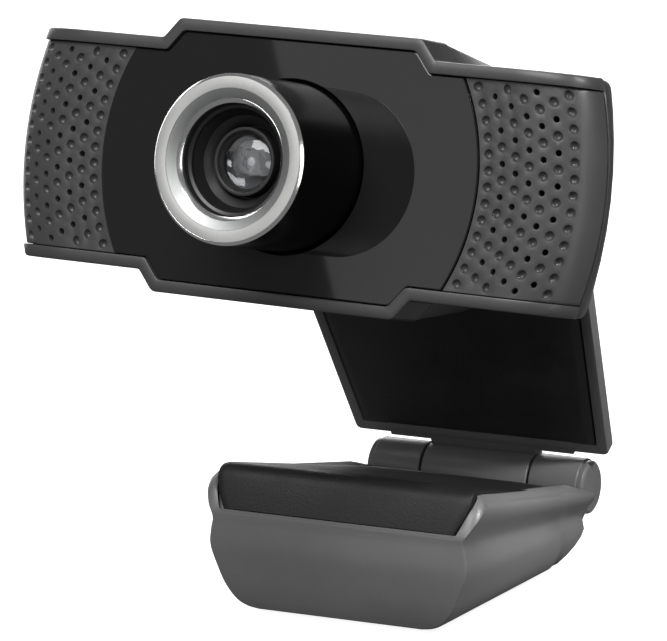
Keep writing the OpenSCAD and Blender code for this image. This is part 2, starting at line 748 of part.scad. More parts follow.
module lens_holder() {
  color("#151517") difference() {
    union() {
      rod_y(lens_r + 1.3, holder_y0, filter_y - holder_y0);
      translate([-holder_w / 2, filter_y - 1, -holder_w / 2])
        cube([holder_w, pcb_y - filter_y + 1, holder_w]);
      for (s = [-1, 1]) translate([s * holder_screw_x, 0, 0]) rod_y(boss_r, pcb_y - 3.4, 3.4);
    }
    rod_y(lens_r + 0.03, 0, filter_y);
    rod_y(lens_r - 1.2, filter_y - 1, 2);
    translate([-4.6, filter_y + 0.8, -4.6]) cube([9.2, 10, 9.2]);
    for (s = [-1, 1]) translate([s * holder_screw_x, 0, 0]) rod_y(screw_r, pcb_y - 2.6, 10);
  }
}
module holder_screws() {
  color("silver") for (s = [-1, 1]) translate([s * holder_screw_x, pcb_y + pcb_t, 0])
    rotate([-90, 0, 0]) screw(screw_r, 3.6, screw_head_r, 0.9);
}
module infrared_filter() {
  color("#7c3a4c") translate([-4.4, filter_y + 0.8, -4.4]) cube([8.8, 0.5, 8.8]);
}
module microphones() {
  color("#b9b9b4") for (s = [-1, 1]) translate([s * mic_x, 0, 0]) rod_y(2, panel_t + 1.4, 2);
}
module microphone_boots() {
  color("#26262a") for (s = [-1, 1]) translate([s * mic_x, 0, 0]) difference() {
    rod_y(2.8, panel_t + 0.1, 4.2);
    rod_y(2, panel_t + 1.4, 6);
    rod_y(0.8, 0, 6);
  }
}
module board_screws() {
  color("silver") for (sx = [-1, 1], sz = [-1, 1])
    translate([sx * screw_x, pcb_y, sz * (pcb_h / 2 - 2.4)]) rotate([90, 0, 0])
      screw(screw_r, pcb_t + 1.5, screw_head_r, screw_head_t);
}
module shell_screws() {
  color("silver") for (s = [-1, 1]) translate([s * shell_screw_x, wing_depth - 0.9, 0])
    rotate([-90, 0, 0]) screw(screw_r, 9, screw_head_r, 0.6);
}
// ---- focus group --------------------------------------------------------------------------

module focus_retainer() {
  ri = tube_r - 0.4;
  ro = tube_flange_r + gap;
  color("#222224") difference() {
    turned([
      [ri, retainer_y], [ro, retainer_y], [ro, panel_t], [retainer_r, panel_t],
      [retainer_r, retainer_y + 1], [ri, retainer_y + 1]]);
    for (a = retainer_angles) rotate([0, a, 0]) translate([retainer_screw_r, 0, 0])
      rod_y(retainer_screw_d / 2 + 0.1, 0, 20);
  }
}
module retainer_screws() {
  color("silver") for (a = retainer_angles) rotate([0, a, 0]) translate([retainer_screw_r, retainer_y + 1, 0])
    rotate([-90, 0, 0]) screw(retainer_screw_d / 2, retainer_y - panel_t + 2, 1.1, 0.7);
}
module focus_tube() {
  ri = tube_r - tube_wall;
  y0 = -tube_reach + ring_t;
  color("#121214") turned([
    [ri, y0], [tube_r, y0], [tube_r, tube_flange_y], [tube_flange_r, tube_flange_y],
    [tube_flange_r, tube_flange_y + tube_flange_t], [ri, tube_flange_y + tube_flange_t]]);
}
module trim_ring() {
  y0 = -tube_reach;
  color("#c4c4c2") turned([
    [ring_open_r, y0 + 1.1], [ring_open_r + 0.55, y0 + 0.75], [ring_flat_r, y0 + 0.2], [tube_r - bevel, y0],
    [tube_r, y0 + bevel], [tube_r, y0 + ring_t], [ring_open_r, y0 + ring_t]]);
}
module lens_hood() {
  ro = tube_r - tube_wall;
  y0 = -tube_reach + ring_t;
  skirt_y = hood_back_y + 6;
  color("#1c1c1e") turned([
    [ring_open_r, y0], [ro, y0], [ro, hood_back_y], [lens_r + 0.9, skirt_y], [lens_r + 0.08, skirt_y],
    [lens_r + 0.08, hood_back_y], [lip_r + gap, hood_back_y], [lip_r + gap, hood_back_y - 1.2],
    [lip_r + 1.4, hood_back_y - 2], [ring_open_r - 0.6, y0 + 1]]);
}

// ---- lens ---------------------------------------------------------------------------------

module lens_barrel() {
  color("#0e0e10") turned([
    [glass_r + 0.15, lip_y + 0.9], [lip_r - 0.35, lip_y], [lip_r, lip_y + 0.35],
    [lip_r, hood_back_y + gap], [lens_r, hood_back_y + gap], [lens_r, lens_back_y],
    [rear_open_r, lens_back_y], [rear_open_r, lens_back_y - 1],
    [stack_r, lens_back_y - 1], [stack_r, lip_y + 3.2], [glass_r + 0.15, lip_y + 3.2]]);
}
module front_element() {
  bulge_r = 6.2;
  color("#49525c") intersection() {
    rod_y(glass_r + 0.15, lip_y + 0.7, 2.5);
    translate([0, lip_y + 0.8 + bulge_r, 0]) sphere(r = bulge_r);
  }
}
module aperture_stop() {
  color("#08080a") turned([
    [1.1, lip_y + 3.3], [stack_r, lip_y + 3.3], [stack_r, lip_y + 3.6], [1.1, lip_y + 3.6]]);
}
module inner_elements() {
  color("#49525c") {
    rod_y(stack_r, lip_y + 3.7, 2.4);
    rod_y(stack_r, lip_y + 7.6, 2);
  }
}
module rear_element() {
  color("#49525c") rod_y(stack_r, lens_back_y - 3.2, 2.2);
}
module lens_retainer() {
  color("#101012") turned([
    [2.9, lip_y + 6.1], [stack_r, lip_y + 6.1], [stack_r, lip_y + 7.6], [2.9, lip_y + 7.6]]);
}

foot_shell();
foot_base_cover();
foot_pad();
foot_sole();
foot_screws();
tripod_insert();
hinge_pin();
hinge_cap_left();
hinge_cap_right();
plate_frame();
plate_liner();
hinge_bush();
swivel_pin();
swivel_washer();
swivel_nut();
neck_block();
tilt_screw();
tilt_nut();
tilt_washers();
at_head() rear_shell();
at_head() front_panel();
at_head() faceplate();
at_head() faceplate_tape();
at_head() acoustic_cloth();
at_head() main_board();
at_head() image_sensor();
at_head() video_chip();
at_head() board_components();
at_head() cable_socket();
at_head() lens_holder();
at_head() holder_screws();
at_head() infrared_filter();
at_head() microphones();
at_head() microphone_boots();
at_head() board_screws();
at_head() shell_screws();
at_head() cable_gland();
at_head() focus_retainer();
at_head() retainer_screws();
at_head() focus_tube();
at_head() trim_ring();
at_head() lens_hood();
at_head() lens_barrel();
at_head() front_element();
at_head() inner_elements();
at_head() rear_element();
at_head() aperture_stop();
at_head() lens_retainer();
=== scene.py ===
# Webcam with a stepped grey head, perforated wings and a ring-focused lens, standing on its
# folding clip: a rubber-faced plate hinged to a wedge-shaped foot. Sizes are in millimetres.
import json
import math

import bmesh
import bpy
from mathutils import Matrix, Vector
from mathutils.geometry import delaunay_2d_cdt


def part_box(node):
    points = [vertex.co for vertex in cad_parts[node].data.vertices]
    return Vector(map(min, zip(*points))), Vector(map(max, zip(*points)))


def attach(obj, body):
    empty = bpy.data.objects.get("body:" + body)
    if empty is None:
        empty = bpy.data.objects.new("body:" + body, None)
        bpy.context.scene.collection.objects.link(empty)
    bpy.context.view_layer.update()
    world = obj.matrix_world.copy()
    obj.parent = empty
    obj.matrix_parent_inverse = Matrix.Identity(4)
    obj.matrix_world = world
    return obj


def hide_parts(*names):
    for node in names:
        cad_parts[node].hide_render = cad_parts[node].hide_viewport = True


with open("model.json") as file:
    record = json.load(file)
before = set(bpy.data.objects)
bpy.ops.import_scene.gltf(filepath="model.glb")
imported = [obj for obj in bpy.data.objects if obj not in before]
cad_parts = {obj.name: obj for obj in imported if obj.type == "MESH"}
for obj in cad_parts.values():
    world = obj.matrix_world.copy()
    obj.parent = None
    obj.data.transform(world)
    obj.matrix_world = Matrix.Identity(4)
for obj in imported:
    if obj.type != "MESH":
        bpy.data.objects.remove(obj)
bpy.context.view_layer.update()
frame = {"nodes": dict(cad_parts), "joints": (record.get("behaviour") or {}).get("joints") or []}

# ---- Wing grilles -----------------------------------------------------------------------------
# The two perforated wings of the head's front moulding, in satin grey ABS. Columns of round
# dimples alternate with drilled sound holes, and the surface rolls back towards each end.
joint = {j["name"]: j for j in frame["joints"]}


def placed(origin, right, forward):
    """The place of a part: x to its right, y backwards, z up."""
    x = Vector(right).normalized()
    y = -Vector(forward).normalized()
    m = Matrix((x, y, x.cross(y))).transposed().to_4x4()
    m.translation = Vector(origin)
    return m


def solid(name, shells, at, body, material, crease=32, outward=True):
    """One piece from its closed shells of (points, faces), in the part's own place."""
    points, faces = [], []
    for shell_points, shell_faces in shells:
        start = len(points)
        points += [Vector(p) / 1000 for p in shell_points]
        faces += [tuple(start + i for i in f) for f in shell_faces]
    mesh = bpy.data.meshes.new(name)
    mesh.from_pydata(points, [], faces)
    bm = bmesh.new()
    bm.from_mesh(mesh)
    bmesh.ops.remove_doubles(bm, verts=bm.verts, dist=1e-6)
    bmesh.ops.dissolve_degenerate(bm, edges=bm.edges, dist=1e-7)
    if outward:
        bmesh.ops.recalc_face_normals(bm, faces=bm.faces)
    bm.to_mesh(mesh)
    bm.free()
    mesh.shade_smooth()
    mesh.set_sharp_from_angle(angle=math.radians(crease))
    obj = bpy.data.objects.new(name, mesh)
    bpy.context.scene.collection.objects.link(obj)
    obj.matrix_world = at
    mesh.materials.append(material)
    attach(obj, body)
    return obj


def finish_of(name, shade, rough, grain=0.22, relief=0.012, clouds=0.08, **sockets):
    """Moulded or painted surface: fine grain in the height, soft clouds in shade and gloss."""
    m = bpy.data.materials.new(name)
    m.use_nodes = True
    nodes, links = m.node_tree.nodes, m.node_tree.links
    shader = nodes["Principled BSDF"]
    where = nodes.new("ShaderNodeTexCoord")

    def noise(size, detail):
        n = nodes.new("ShaderNodeTexNoise")
        n.inputs["Scale"].default_value = 1000 / size
        n.inputs["Detail"].default_value = detail
        links.new(where.outputs["Object"], n.inputs["Vector"])
        return n.outputs["Fac"]

    fine, wide = noise(grain, 3), noise(7, 4)
    mottle = nodes.new("ShaderNodeMath")
    mottle.operation = "MULTIPLY_ADD"
    mottle.inputs[1].default_value = 0.5
    links.new(fine, mottle.inputs[0])
    half = nodes.new("ShaderNodeMath")
    half.operation = "MULTIPLY"
    half.inputs[1].default_value = 0.5
    links.new(wide, half.inputs[0])
    links.new(half.outputs[0], mottle.inputs[2])
    tone = nodes.new("ShaderNodeValToRGB")
    tone.color_ramp.elements[0].position = 0.3
    tone.color_ramp.elements[1].position = 0.7
    for end, factor in ((0, 1 - clouds), (1, 1 + clouds)):
        tone.color_ramp.elements[end].color = [min(1, c * factor) for c in shade] + [1]
    links.new(mottle.outputs[0], tone.inputs["Fac"])
    links.new(tone.outputs["Color"], shader.inputs["Base Color"])
    gloss = nodes.new("ShaderNodeMapRange")
    gloss.inputs["From Min"].default_value = 0.3
    gloss.inputs["From Max"].default_value = 0.7
    gloss.inputs["To Min"].default_value = max(0.02, rough * 0.88)
    gloss.inputs["To Max"].default_value = min(1, rough * 1.12)
    links.new(wide, gloss.inputs["Value"])
    links.new(gloss.outputs["Result"], shader.inputs["Roughness"])
    bump = nodes.new("ShaderNodeBump")
    bump.inputs["Strength"].default_value = 1
    bump.inputs["Distance"].default_value = relief / 1000
    links.new(fine, bump.inputs["Height"])
    links.new(bump.outputs["Normal"], shader.inputs["Normal"])
    for socket, value in sockets.items():
        shader.inputs[socket.replace("_", " ")].default_value = value
    return m


def loft(rings, caps=True, wrap=False):
    """Rings of equal count joined into a shell; wrap joins the last ring to the first."""
    n, m = len(rings[0]), len(rings)
    points = [p for ring in rings for p in ring]
    faces = []
    for i in range(m if wrap else m - 1):
        j = (i + 1) % m
        for k in range(n):
            e = (k + 1) % n
            faces.append((i * n + k, i * n + e, j * n + e, j * n + k))
    if caps:
        faces += [tuple(range(n))[::-1], tuple(range((m - 1) * n, m * n))]
    return points, faces


def rounded(corners, radii, steps=4, closed=True):
    """An outline or path with each corner rounded; the count of points never changes."""
    corners = [Vector(c) for c in corners]
    n = len(corners)
    if not hasattr(radii, "__len__"):
        radii = [radii] * n
    out = []
    for i, c in enumerate(corners):
        if not closed and i in (0, n - 1):
            out.append(c)
            continue
        before, after = corners[i - 1] - c, corners[(i + 1) % n] - c
        half_turn = (math.pi - before.angle(after, math.pi)) / 2
        reach = min(radii[i] * math.tan(half_turn), 0.48 * before.length, 0.48 * after.length)
        a, b = c + before.normalized() * reach, c + after.normalized() * reach
        for s in range(steps + 1):
            t = s / steps
            out.append(a * (1 - t) ** 2 + c * (2 * t * (1 - t)) + b * t**2)
    return out


head_at = placed(
    joint["focus_turn"]["pos_m"], joint["head_tilt"]["axis"], joint["focus_turn"]["axis"]
)
SHOULDER_X, SHOULDER_R, SHOULDER_TURN, END_R = 34.0, 13.6, math.radians(27), 5.2
END_BULGE_R = 48.0
SHOULDER_RUN = SHOULDER_R * SHOULDER_TURN
END_RUN = SHOULDER_X + SHOULDER_RUN + END_R * (math.pi / 2 - SHOULDER_TURN)
SPLIT_Y = SHOULDER_R - (SHOULDER_R - END_R) * math.cos(SHOULDER_TURN)
WING_HALF_H, RAIL_W, WING_SINK = 15.2, 1.6, 0.2
BULGE_START, BULGE_RUN = 27.0, 7.0  # where the bulged end begins, and over how far it grows


def front_curve(run):
    """The head's front in plan, by the length run out from the middle: x, y, turn."""
    if run <= SHOULDER_X:
        return run, 0.0, 0.0
    turn = min((run - SHOULDER_X) / SHOULDER_R, SHOULDER_TURN)
    x, y = SHOULDER_X + SHOULDER_R * math.sin(turn), SHOULDER_R * (1 - math.cos(turn))
    if run > SHOULDER_X + SHOULDER_RUN:
        last = turn + (run - SHOULDER_X - SHOULDER_RUN) / END_R
        x += END_R * (math.sin(last) - math.sin(turn))
        y += END_R * (math.cos(turn) - math.cos(last))
        turn = last
    return x, y, turn


def end_bulge(v):
    return END_BULGE_R - math.sqrt(END_BULGE_R**2 - v * v)


def on_front(run, v, sink=0.0, forward=0.0):
    """Point of the head's front at a run along it and height v, sunk into the wall."""
    x, y, turn = front_curve(abs(run))
    share = min(1, max(0, (abs(run) - BULGE_START) / BULGE_RUN))
    x -= end_bulge(v) * share + sink * math.sin(turn)
    return math.copysign(x, run), y + sink * math.cos(turn) - forward, v


def run_at(x, v):
    """Run along the front where its point at height v is x from the middle."""
    low, high = 0.0, END_RUN
    for _ in range(40):
        mid = (low + high) / 2
        low, high = (mid, high) if on_front(mid, v)[0] < x else (low, mid)
    return low


def relief(loops, dots, keep):
    """Sheet over closed loops and loose dots of (run, v, sink), as Delaunay triangles."""
    flat, sinks, edges = [], [], []
    for loop in loops:
        start, n = len(flat), len(loop)
        edges += [(start + i, start + (i + 1) % n) for i in range(n)]
        flat += [Vector(p[:2]) for p in loop]
        sinks += [p[2] for p in loop]
    flat += [Vector(p[:2]) for p in dots]
    sinks += [p[2] for p in dots]
    at, _, triangles, origin, _, _ = delaunay_2d_cdt(flat, edges, [], 0, 1e-5)
    faces = [
        t for t in triangles if keep(sum((at[i] for i in t), Vector((0, 0))) / len(t))
    ]
    return [(p.x, p.y, sinks[o[0]] if o else 0.0) for p, o in zip(at, origin)], faces


DOT_R0, COLUMN_PITCH, ROW_PITCH = 29.1, 1.9, 2.083
COLUMNS, ROWS = 7, 13
FACE_ARC_R = 27.7
HOLE_FIRST = (1, 4)  # columns whose top dot is a hole
DIMPLE = ((0.7, 0), (0.66, 0.015), (0.62, 0.1), (0.52, 0.3), (0.37, 0.47), (0.19, 0.56))
DIMPLE_DEPTH = 0.6
HOLE = ((0.5, 0), (0.43, 0.02), (0.4, 0.09), (0.39, 1.6))
WALL_T = 1.6
PANEL_GAP = 0.06  # between the panel and the rails
ARC_GAP = 0.1  # between the panel and the faceplate's round end
SKIN_STEP_RUN, SKIN_STEP_V, SKIN_ROWS = 0.45, 0.82, 16
DOT_CLEAR_R, BORE_R = 0.8, 0.385


def dots_of_wing():
    """Centre (run, v) of every dot, and whether it is a through hole."""
    found = []
    for column in range(COLUMNS):
        rows = ROWS - column % 2
        for row in range(rows):
            v = ((rows - 1) / 2 - row) * ROW_PITCH
            x = math.sqrt((DOT_R0 + COLUMN_PITCH * column) ** 2 - v * v)
            inner = column not in (0, COLUMNS - 1)
            drilled = inner and (row % 2 == 0) == (column in HOLE_FIRST)
            found.append((run_at(x, v), v, drilled))
    return found


def wing_edge(inset, sink):
    """Edge of a wing panel: the faceplate's arc, the two rails and the rolled end."""
    top = WING_HALF_H - RAIL_W - PANEL_GAP - inset
    arc_r = FACE_ARC_R + ARC_GAP + inset
    loop = []
    for i in range(41):
        v = top - 2 * top * i / 40
        loop.append((math.sqrt(arc_r**2 - v * v), v, sink))
    first = loop[-1][0]
    last = END_RUN - inset
    loop += [(first + (last - first) * i / 14, -top, sink) for i in range(1, 15)]
    loop += [(last, -top + 2 * top * i / 14, sink) for i in range(1, 15)]
    first = loop[0][0]
    loop += [(last + (first - last) * i / 14, top, sink) for i in range(1, 14)]
    return loop


def circle(centre, radius, sink, count):
    return [
        (
            centre[0] + radius * math.cos(2 * math.pi * i / count),
            centre[1] + radius * math.sin(2 * math.pi * i / count),
            sink,
        )
        for i in range(count)
    ]


def wing_shells():
    dots = dots_of_wing()
    holes = [d for d in dots if d[2]]
    edge = wing_edge(0, WALL_T)
    low = wing_edge(0.015, 0.12)
    inner = wing_edge(0.1, 0)
    points, rims = [], []
    for d in dots:
        for radius, sink in HOLE if d[2] else DIMPLE:
            points += circle(d, radius, sink, 16 if d[2] else 24)
        if d[2]:
            rims.append(circle(d, HOLE[-1][0], WALL_T, 16))
        else:
            points.append((d[0], d[1], DIMPLE_DEPTH))
    run = SHOULDER_X
    while run < END_RUN - 0.3:
        for i in range(-SKIN_ROWS, SKIN_ROWS + 1):
            v = i * SKIN_STEP_V
            if all((run - d[0]) ** 2 + (v - d[1]) ** 2 > DOT_CLEAR_R**2 for d in dots):
                points.append((run, v, 0))
        run += SKIN_STEP_RUN

    def solid_part(p):
        past_face = p.x**2 + p.y**2 > (FACE_ARC_R + 0.09) ** 2
        return past_face and all((p.x - h[0]) ** 2 + (p.y - h[1]) ** 2 > BORE_R**2 for h in holes)

    skin, skin_faces = relief([edge, low, inner], points, solid_part)
    back, back_faces = relief([edge, *rims], [], solid_part)
    shells = []
    for side in (1, -1):
        shell_points, shell_faces = [], []
        for sheet, faces, flipped in ((skin, skin_faces, side < 0), (back, back_faces, side > 0)):
            start = len(shell_points)
            for p_run, v, sink in sheet:
                shell_points.append(on_front(side * p_run, v, sink + WING_SINK))
            for f in faces:
                f = tuple(start + i for i in f)
                shell_faces.append(f[::-1] if flipped else f)
        shells.append((shell_points, shell_faces))
    return shells


grey_abs = finish_of("satin_grey_abs", (0.05, 0.05, 0.051), 0.38, grain=0.2, relief=0.008)
solid(
    "head_wing_grilles", wing_shells(), head_at, "head", grey_abs, 40, False
)

# ---- Front rails ------------------------------------------------------------------------------
# Raised rails along the top and bottom of the same moulding, stepping round the faceplate.
# Each has a small outer bevel, and a shadow groove where the faceplate and wings are let in.
RAISED_TOP, RAISED_FOOT, RAIL_PROUD = (17.9, 17.9), (20.15, 15.2), 0.5
MITRE = 0.48  # share of an inset by which the slanted step moves sideways
RAIL_SECTION = (
    (0, None), (0, 0.4), (0.07, 0.14), (0.3, 0), (1.46, 0), (1.57, 0.05), (1.6, 0.2), (1.6, None),
)


def rail_path(inset, side):
    """Line along a rail from end to end, as (run, v); side is 1 above, -1 below."""
    a = (RAISED_TOP[0] - MITRE * inset, RAISED_TOP[1] - inset)
    b = (RAISED_FOOT[0] - MITRE * inset, RAISED_FOOT[1] - inset)
    steps = [END_RUN - 0.8 * i for i in range(18)]
    half = [Vector((s, b[1])) for s in steps]
    middle = rounded([(30, b[1]), b, a, (0, a[1])], [0, 0.9, 1.1, 0], closed=False)[1:-1]
    half += [Vector((26, b[1]))] + middle
    line = half + [Vector((-p.x, p.y)) for p in reversed(half)]
    return [(p.x, side * p.y) for p in line]


def rail_shell(side):
    lines = []
    for inset, sink in RAIL_SECTION:
        line = []
        for run, v in rail_path(inset, side):
            x, y, z = on_front(run, v, sink or 0, RAIL_PROUD)
            line.append((x, SPLIT_Y if sink is None else min(y, SPLIT_Y), z))
        lines.append(line)
    return loft([list(ring) for ring in zip(*lines)])


rails = solid(
    "head_front_rails", [rail_shell(1), rail_shell(-1)], head_at, "head", grey_abs
)
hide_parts("front_panel")

# ---- Rear shell -------------------------------------------------------------------------------
# The back moulding of the head: shallow behind the wings and deeper in its raised middle, with
# the two lugs of the tilt joint. It meets the front moulding at a fine parting line.
WING_BACK, HEAD_BACK, LUG_R, LUG_T = 15.4, 19.6, 4.1, 2.8
FACE_TO_TILT, LUG_X = 25.0, 5.65
WING_TAPER_X = 30.0  # the wings draw in from here outwards
MIDDLE_TOP, MIDDLE_TAPER = 18.6, 0.133
SHELL_SCREW_X, SHELL_SCREW_SINK_R = 34.15, 1.95


def half_stations():
    """Half outline of the head from top middle down the right: (x, z, on the wing)."""
    a, b = RAISED_TOP, RAISED_FOOT
    middle = rounded([(0, a[1]), a, b, (b[0] + 1, b[1])], [0, 1.1, 0.4, 0], closed=False)[:-1]
    out = [(p.x, p.y, False) for p in middle]
    out.append((b[0] + 0.5, b[1], True))
    end = [(END_X - end_bulge(b[1] * t), b[1] * t) for t in (1, 0.75, 0.5, 0.25, 0)]
    corner = rounded([(30, b[1]), *end], [0, 1.6, 0, 0, 0, 0], closed=False)
    out += [(p.x, p.y, True) for p in corner[1:]]
    return out + [(x, -z, w) for x, z, w in reversed(out[:-1])]


END_X = front_curve(END_RUN)[0]


def shell_ring(y, side_inset, edge_inset, middle_inset, onto_middle=False):
    """The shell's outline at a depth, drawn in at its ends, its edges and its middle."""
    ring = []
    lower = min(1, (MIDDLE_TOP - MIDDLE_TAPER * y - WING_HALF_H) / (RAISED_TOP[1] - WING_HALF_H))
    for x, z, on_wing in half_stations():
        s = math.copysign(1, z) if z else 1
        if on_wing and not onto_middle:
            x -= max(0, x - WING_TAPER_X) * side_inset / (END_X - WING_TAPER_X)
            z *= 1 - edge_inset / WING_HALF_H
        else:
            if abs(z) > WING_HALF_H:
                z = s * (WING_HALF_H + (abs(z) - WING_HALF_H) * lower)
            x, z = min(x, RAISED_FOOT[0]) * (1 - middle_inset / 20), z * (1 - middle_inset / 17)
        ring.append((x, y, z))
    return ring + [(-x, y, z) for x, y, z in reversed(ring)]


def bar(outline, x0, x1, ease=0.3):
    """A [y, z] outline as a bar along x, with eased end edges."""
    middle = sum((Vector(p) for p in outline), Vector((0, 0))) / len(outline)
    rings = []
    for x, inset in ((x0, ease), (x0 + 0.3 * ease, 0.3 * ease), (x0 + ease, 0)):
        rings.append((x, inset))
    rings += [(x1 + x0 - x, inset) for x, inset in reversed(rings)]
    out = []
    for x, inset in rings:
        ring = []
        for p in outline:
            d = Vector(p) - middle
            q = middle + d * max(0, 1 - inset / max(d.length, 0.1))
            ring.append((x, q.x, q.y))
        out.append(ring)
    return loft(out)


def lug(x0, x1):
    face = [(FACE_TO_TILT + LUG_R * math.cos(t), LUG_R * math.sin(t))
            for t in (math.radians(-100 + 200 * i / 24) for i in range(25))]
    return bar([(HEAD_BACK - 1, -LUG_R - 1), *face, (HEAD_BACK - 1, LUG_R + 1)], x0, x1)


def cut(obj, cutters):
    """Takes the cutters' volumes out of a piece."""
    for shell in cutters:
        mesh = bpy.data.meshes.new("cutter")
        mesh.from_pydata([Vector(p) / 1000 for p in shell[0]], [], shell[1])
        bm = bmesh.new()
        bm.from_mesh(mesh)
        bmesh.ops.remove_doubles(bm, verts=bm.verts, dist=1e-6)
        bmesh.ops.recalc_face_normals(bm, faces=bm.faces)
        bm.to_mesh(mesh)
        bm.free()
        cutter = bpy.data.objects.new("cutter", mesh)
        bpy.context.scene.collection.objects.link(cutter)
        cutter.matrix_world = obj.matrix_world
        step = obj.modifiers.new("cut", "BOOLEAN")
        step.object, step.operation, step.solver = cutter, "DIFFERENCE", "EXACT"
        bpy.context.view_layer.update()
        shape = bpy.data.meshes.new_from_object(
            obj.evaluated_get(bpy.context.evaluated_depsgraph_get())
        )
        obj.modifiers.remove(step)
        obj.data = shape
        bpy.data.objects.remove(cutter)
    obj.data.set_sharp_from_angle(angle=math.radians(32))


def turned(outline, ease=0.1, steps=96, axis="y", ease_steps=3):
    """A closed outline of (radius, along) turned about an axis, with eased corners."""
    ring = rounded(outline, ease, ease_steps)
    rings = []
    for i in range(steps):
        c, s = math.cos(2 * math.pi * i / steps), math.sin(2 * math.pi * i / steps)
        if axis == "y":
            rings.append([(p.x * c, p.y, p.x * s) for p in ring])
        elif axis == "x":
            rings.append([(p.y, p.x * c, p.x * s) for p in ring])
        else:
            rings.append([(p.x * c, p.x * s, p.y) for p in ring])
    return loft(rings, caps=False, wrap=True)


def moved(shell, by):
    return [Vector(p) + Vector(by) for p in shell[0]], shell[1]


rear_rings = [
    shell_ring(SPLIT_Y + 0.06, 0.12, 0.12, 0.12), shell_ring(SPLIT_Y + 0.2, 0.02, 0, 0),
    shell_ring(7.3, 0.14, 0, 0), shell_ring(8.4, 0.53, 0, 0), shell_ring(10, 1.32, 0, 0),
    shell_ring(12.6, 2.59, 0, 0), shell_ring(13.7, 3.15, 0.05, 0), shell_ring(14.3, 3.55, 0.25, 0),
    shell_ring(14.8, 4.05, 0.6, 0), shell_ring(15.15, 4.65, 1.05, 0),
    shell_ring(15.33, 5.3, 1.6, 0), shell_ring(WING_BACK, 6.1, 2.3, 0),
    shell_ring(WING_BACK + 0.02, 0, 0, 0, True), shell_ring(18.2, 0, 0, 0, True),
    shell_ring(19.0, 0, 0, 0.2, True), shell_ring(19.45, 0, 0, 0.65, True),
    shell_ring(HEAD_BACK, 0, 0, 1.4, True),
]
black_abs = finish_of("satin_black_abs", (0.03, 0.03, 0.031), 0.4, grain=0.2, relief=0.01)
rear = solid("head_rear_shell", [loft(rear_rings)], head_at, "head", black_abs)
screw_sink = turned(
    [(0, 14.4), (SHELL_SCREW_SINK_R, 14.4), (SHELL_SCREW_SINK_R, 17), (0, 17)], 0, 32
)
cut(rear, [moved(screw_sink, (s * SHELL_SCREW_X, 0, 0)) for s in (1, -1)])
solid(
    "head_tilt_lugs", [lug(LUG_X, LUG_X + LUG_T), lug(-LUG_X - LUG_T, -LUG_X)],
    head_at, "head", black_abs,
)
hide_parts("rear_shell")

# ---- Faceplate --------------------------------------------------------------------------------
# Glossy black acrylic sheet let in between the rails, with two round ends and a hole for the
# lens tube. Its cut edge has a fine polished chamfer.
FACE_T, FACE_HOLE_R, FACE_GAP = 1.0, 11.3, 0.14


def face_reach(angle, inset):
    """Distance from the lens axis to the sheet's edge in one direction."""
    d = RAIL_W + FACE_GAP + inset
    a = (RAISED_TOP[0] - MITRE * d, RAISED_TOP[1] - d)
    b = (RAISED_FOOT[0] - MITRE * d, RAISED_FOOT[1] - d)
    line = rounded([(0, a[1]), a, b, (30, b[1])], [0, 1.0, 0.8, 0], closed=False)
    c, s = abs(math.cos(angle)), abs(math.sin(angle))
    best = FACE_ARC_R - inset
    for p, q in zip(line, line[1:]):
        e = q - p
        det = c * e.y - s * e.x
        if abs(det) > 1e-9:
            reach = (p.x * e.y - p.y * e.x) / det
            along = (p.x * s - p.y * c) / det
            if reach > 0 and -1e-6 <= along <= 1 + 1e-6:
                best = min(best, reach)
    return best


STEP_CORNERS = ((16.9, 16.1), (17.4, 15.8), (19.0, 13.7), (19.6, 13.4))
corner_turns = [math.atan2(z, x) for x, z in STEP_CORNERS]
quarters = ((1, 0), (-1, 0), (1, 1), (-1, 1))
turns = sorted(
    {2 * math.pi * i / 360 for i in range(360)}
    | {(f * t + m * math.pi) % (2 * math.pi) for t in corner_turns for f, m in quarters}
)
face_rings = []
for y, inset, bore in (
    (FACE_T, None, 0), (0.12, None, 0), (0, None, 0.12), (0, 0.14, None), (0.04, 0.04, None),
    (0.14, 0, None), (FACE_T, 0, None),
):
    ring = []
    for t in turns:
        r = FACE_HOLE_R + bore if inset is None else face_reach(t, inset)
        ring.append((r * math.cos(t), y, r * math.sin(t)))
    face_rings.append(ring)
acrylic = finish_of(
    "gloss_black_acrylic", (0.012, 0.012, 0.0125), 0.02, grain=3.0, relief=0.0002, clouds=0.05
)
face = solid(
    "head_faceplate", [loft(face_rings, caps=False, wrap=True)], head_at, "head", acrylic,
    15,
)
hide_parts("faceplate")

# ---- Focus tube, trim ring and hood -----------------------------------------------------------
# The lens tube turns to focus. It is black anodised aluminium, closed by a spun silver trim
# ring with two diamond-cut bevels, around a moulded black hood with a step and a cone.
TUBE_R, TUBE_FRONT, TUBE_BACK = 10.9, -15.0, 4.0


def spun(name, shade, rough, pitch=0.16, relief=0.004, metal=1.0, clouds=0.05, **sockets):
    """Metal or plastic turned on a lathe: fine rings of tool marks about the lens axis."""
    m = finish_of(name, shade, rough, grain=0.5, relief=0.002, clouds=clouds, **sockets)
    nodes, links = m.node_tree.nodes, m.node_tree.links
    shader = nodes["Principled BSDF"]
    shader.inputs["Metallic"].default_value = metal
    where = nodes.new("ShaderNodeTexCoord")
    marks = nodes.new("ShaderNodeTexWave")
    marks.wave_type, marks.rings_direction = "RINGS", "Y"
    marks.inputs["Scale"].default_value = 1000 / pitch / 20
    marks.inputs["Distortion"].default_value = 0.6
    marks.inputs["Detail"].default_value = 2
    links.new(where.outputs["Object"], marks.inputs["Vector"])
    bump = nodes.new("ShaderNodeBump")
    bump.inputs["Distance"].default_value = relief / 1000
    links.new(marks.outputs["Fac"], bump.inputs["Height"])
    under = next(l for l in links if l.to_socket == shader.inputs["Normal"]).from_node
    links.new(under.outputs["Normal"], bump.inputs["Normal"])
    links.new(bump.outputs["Normal"], shader.inputs["Normal"])
    return m


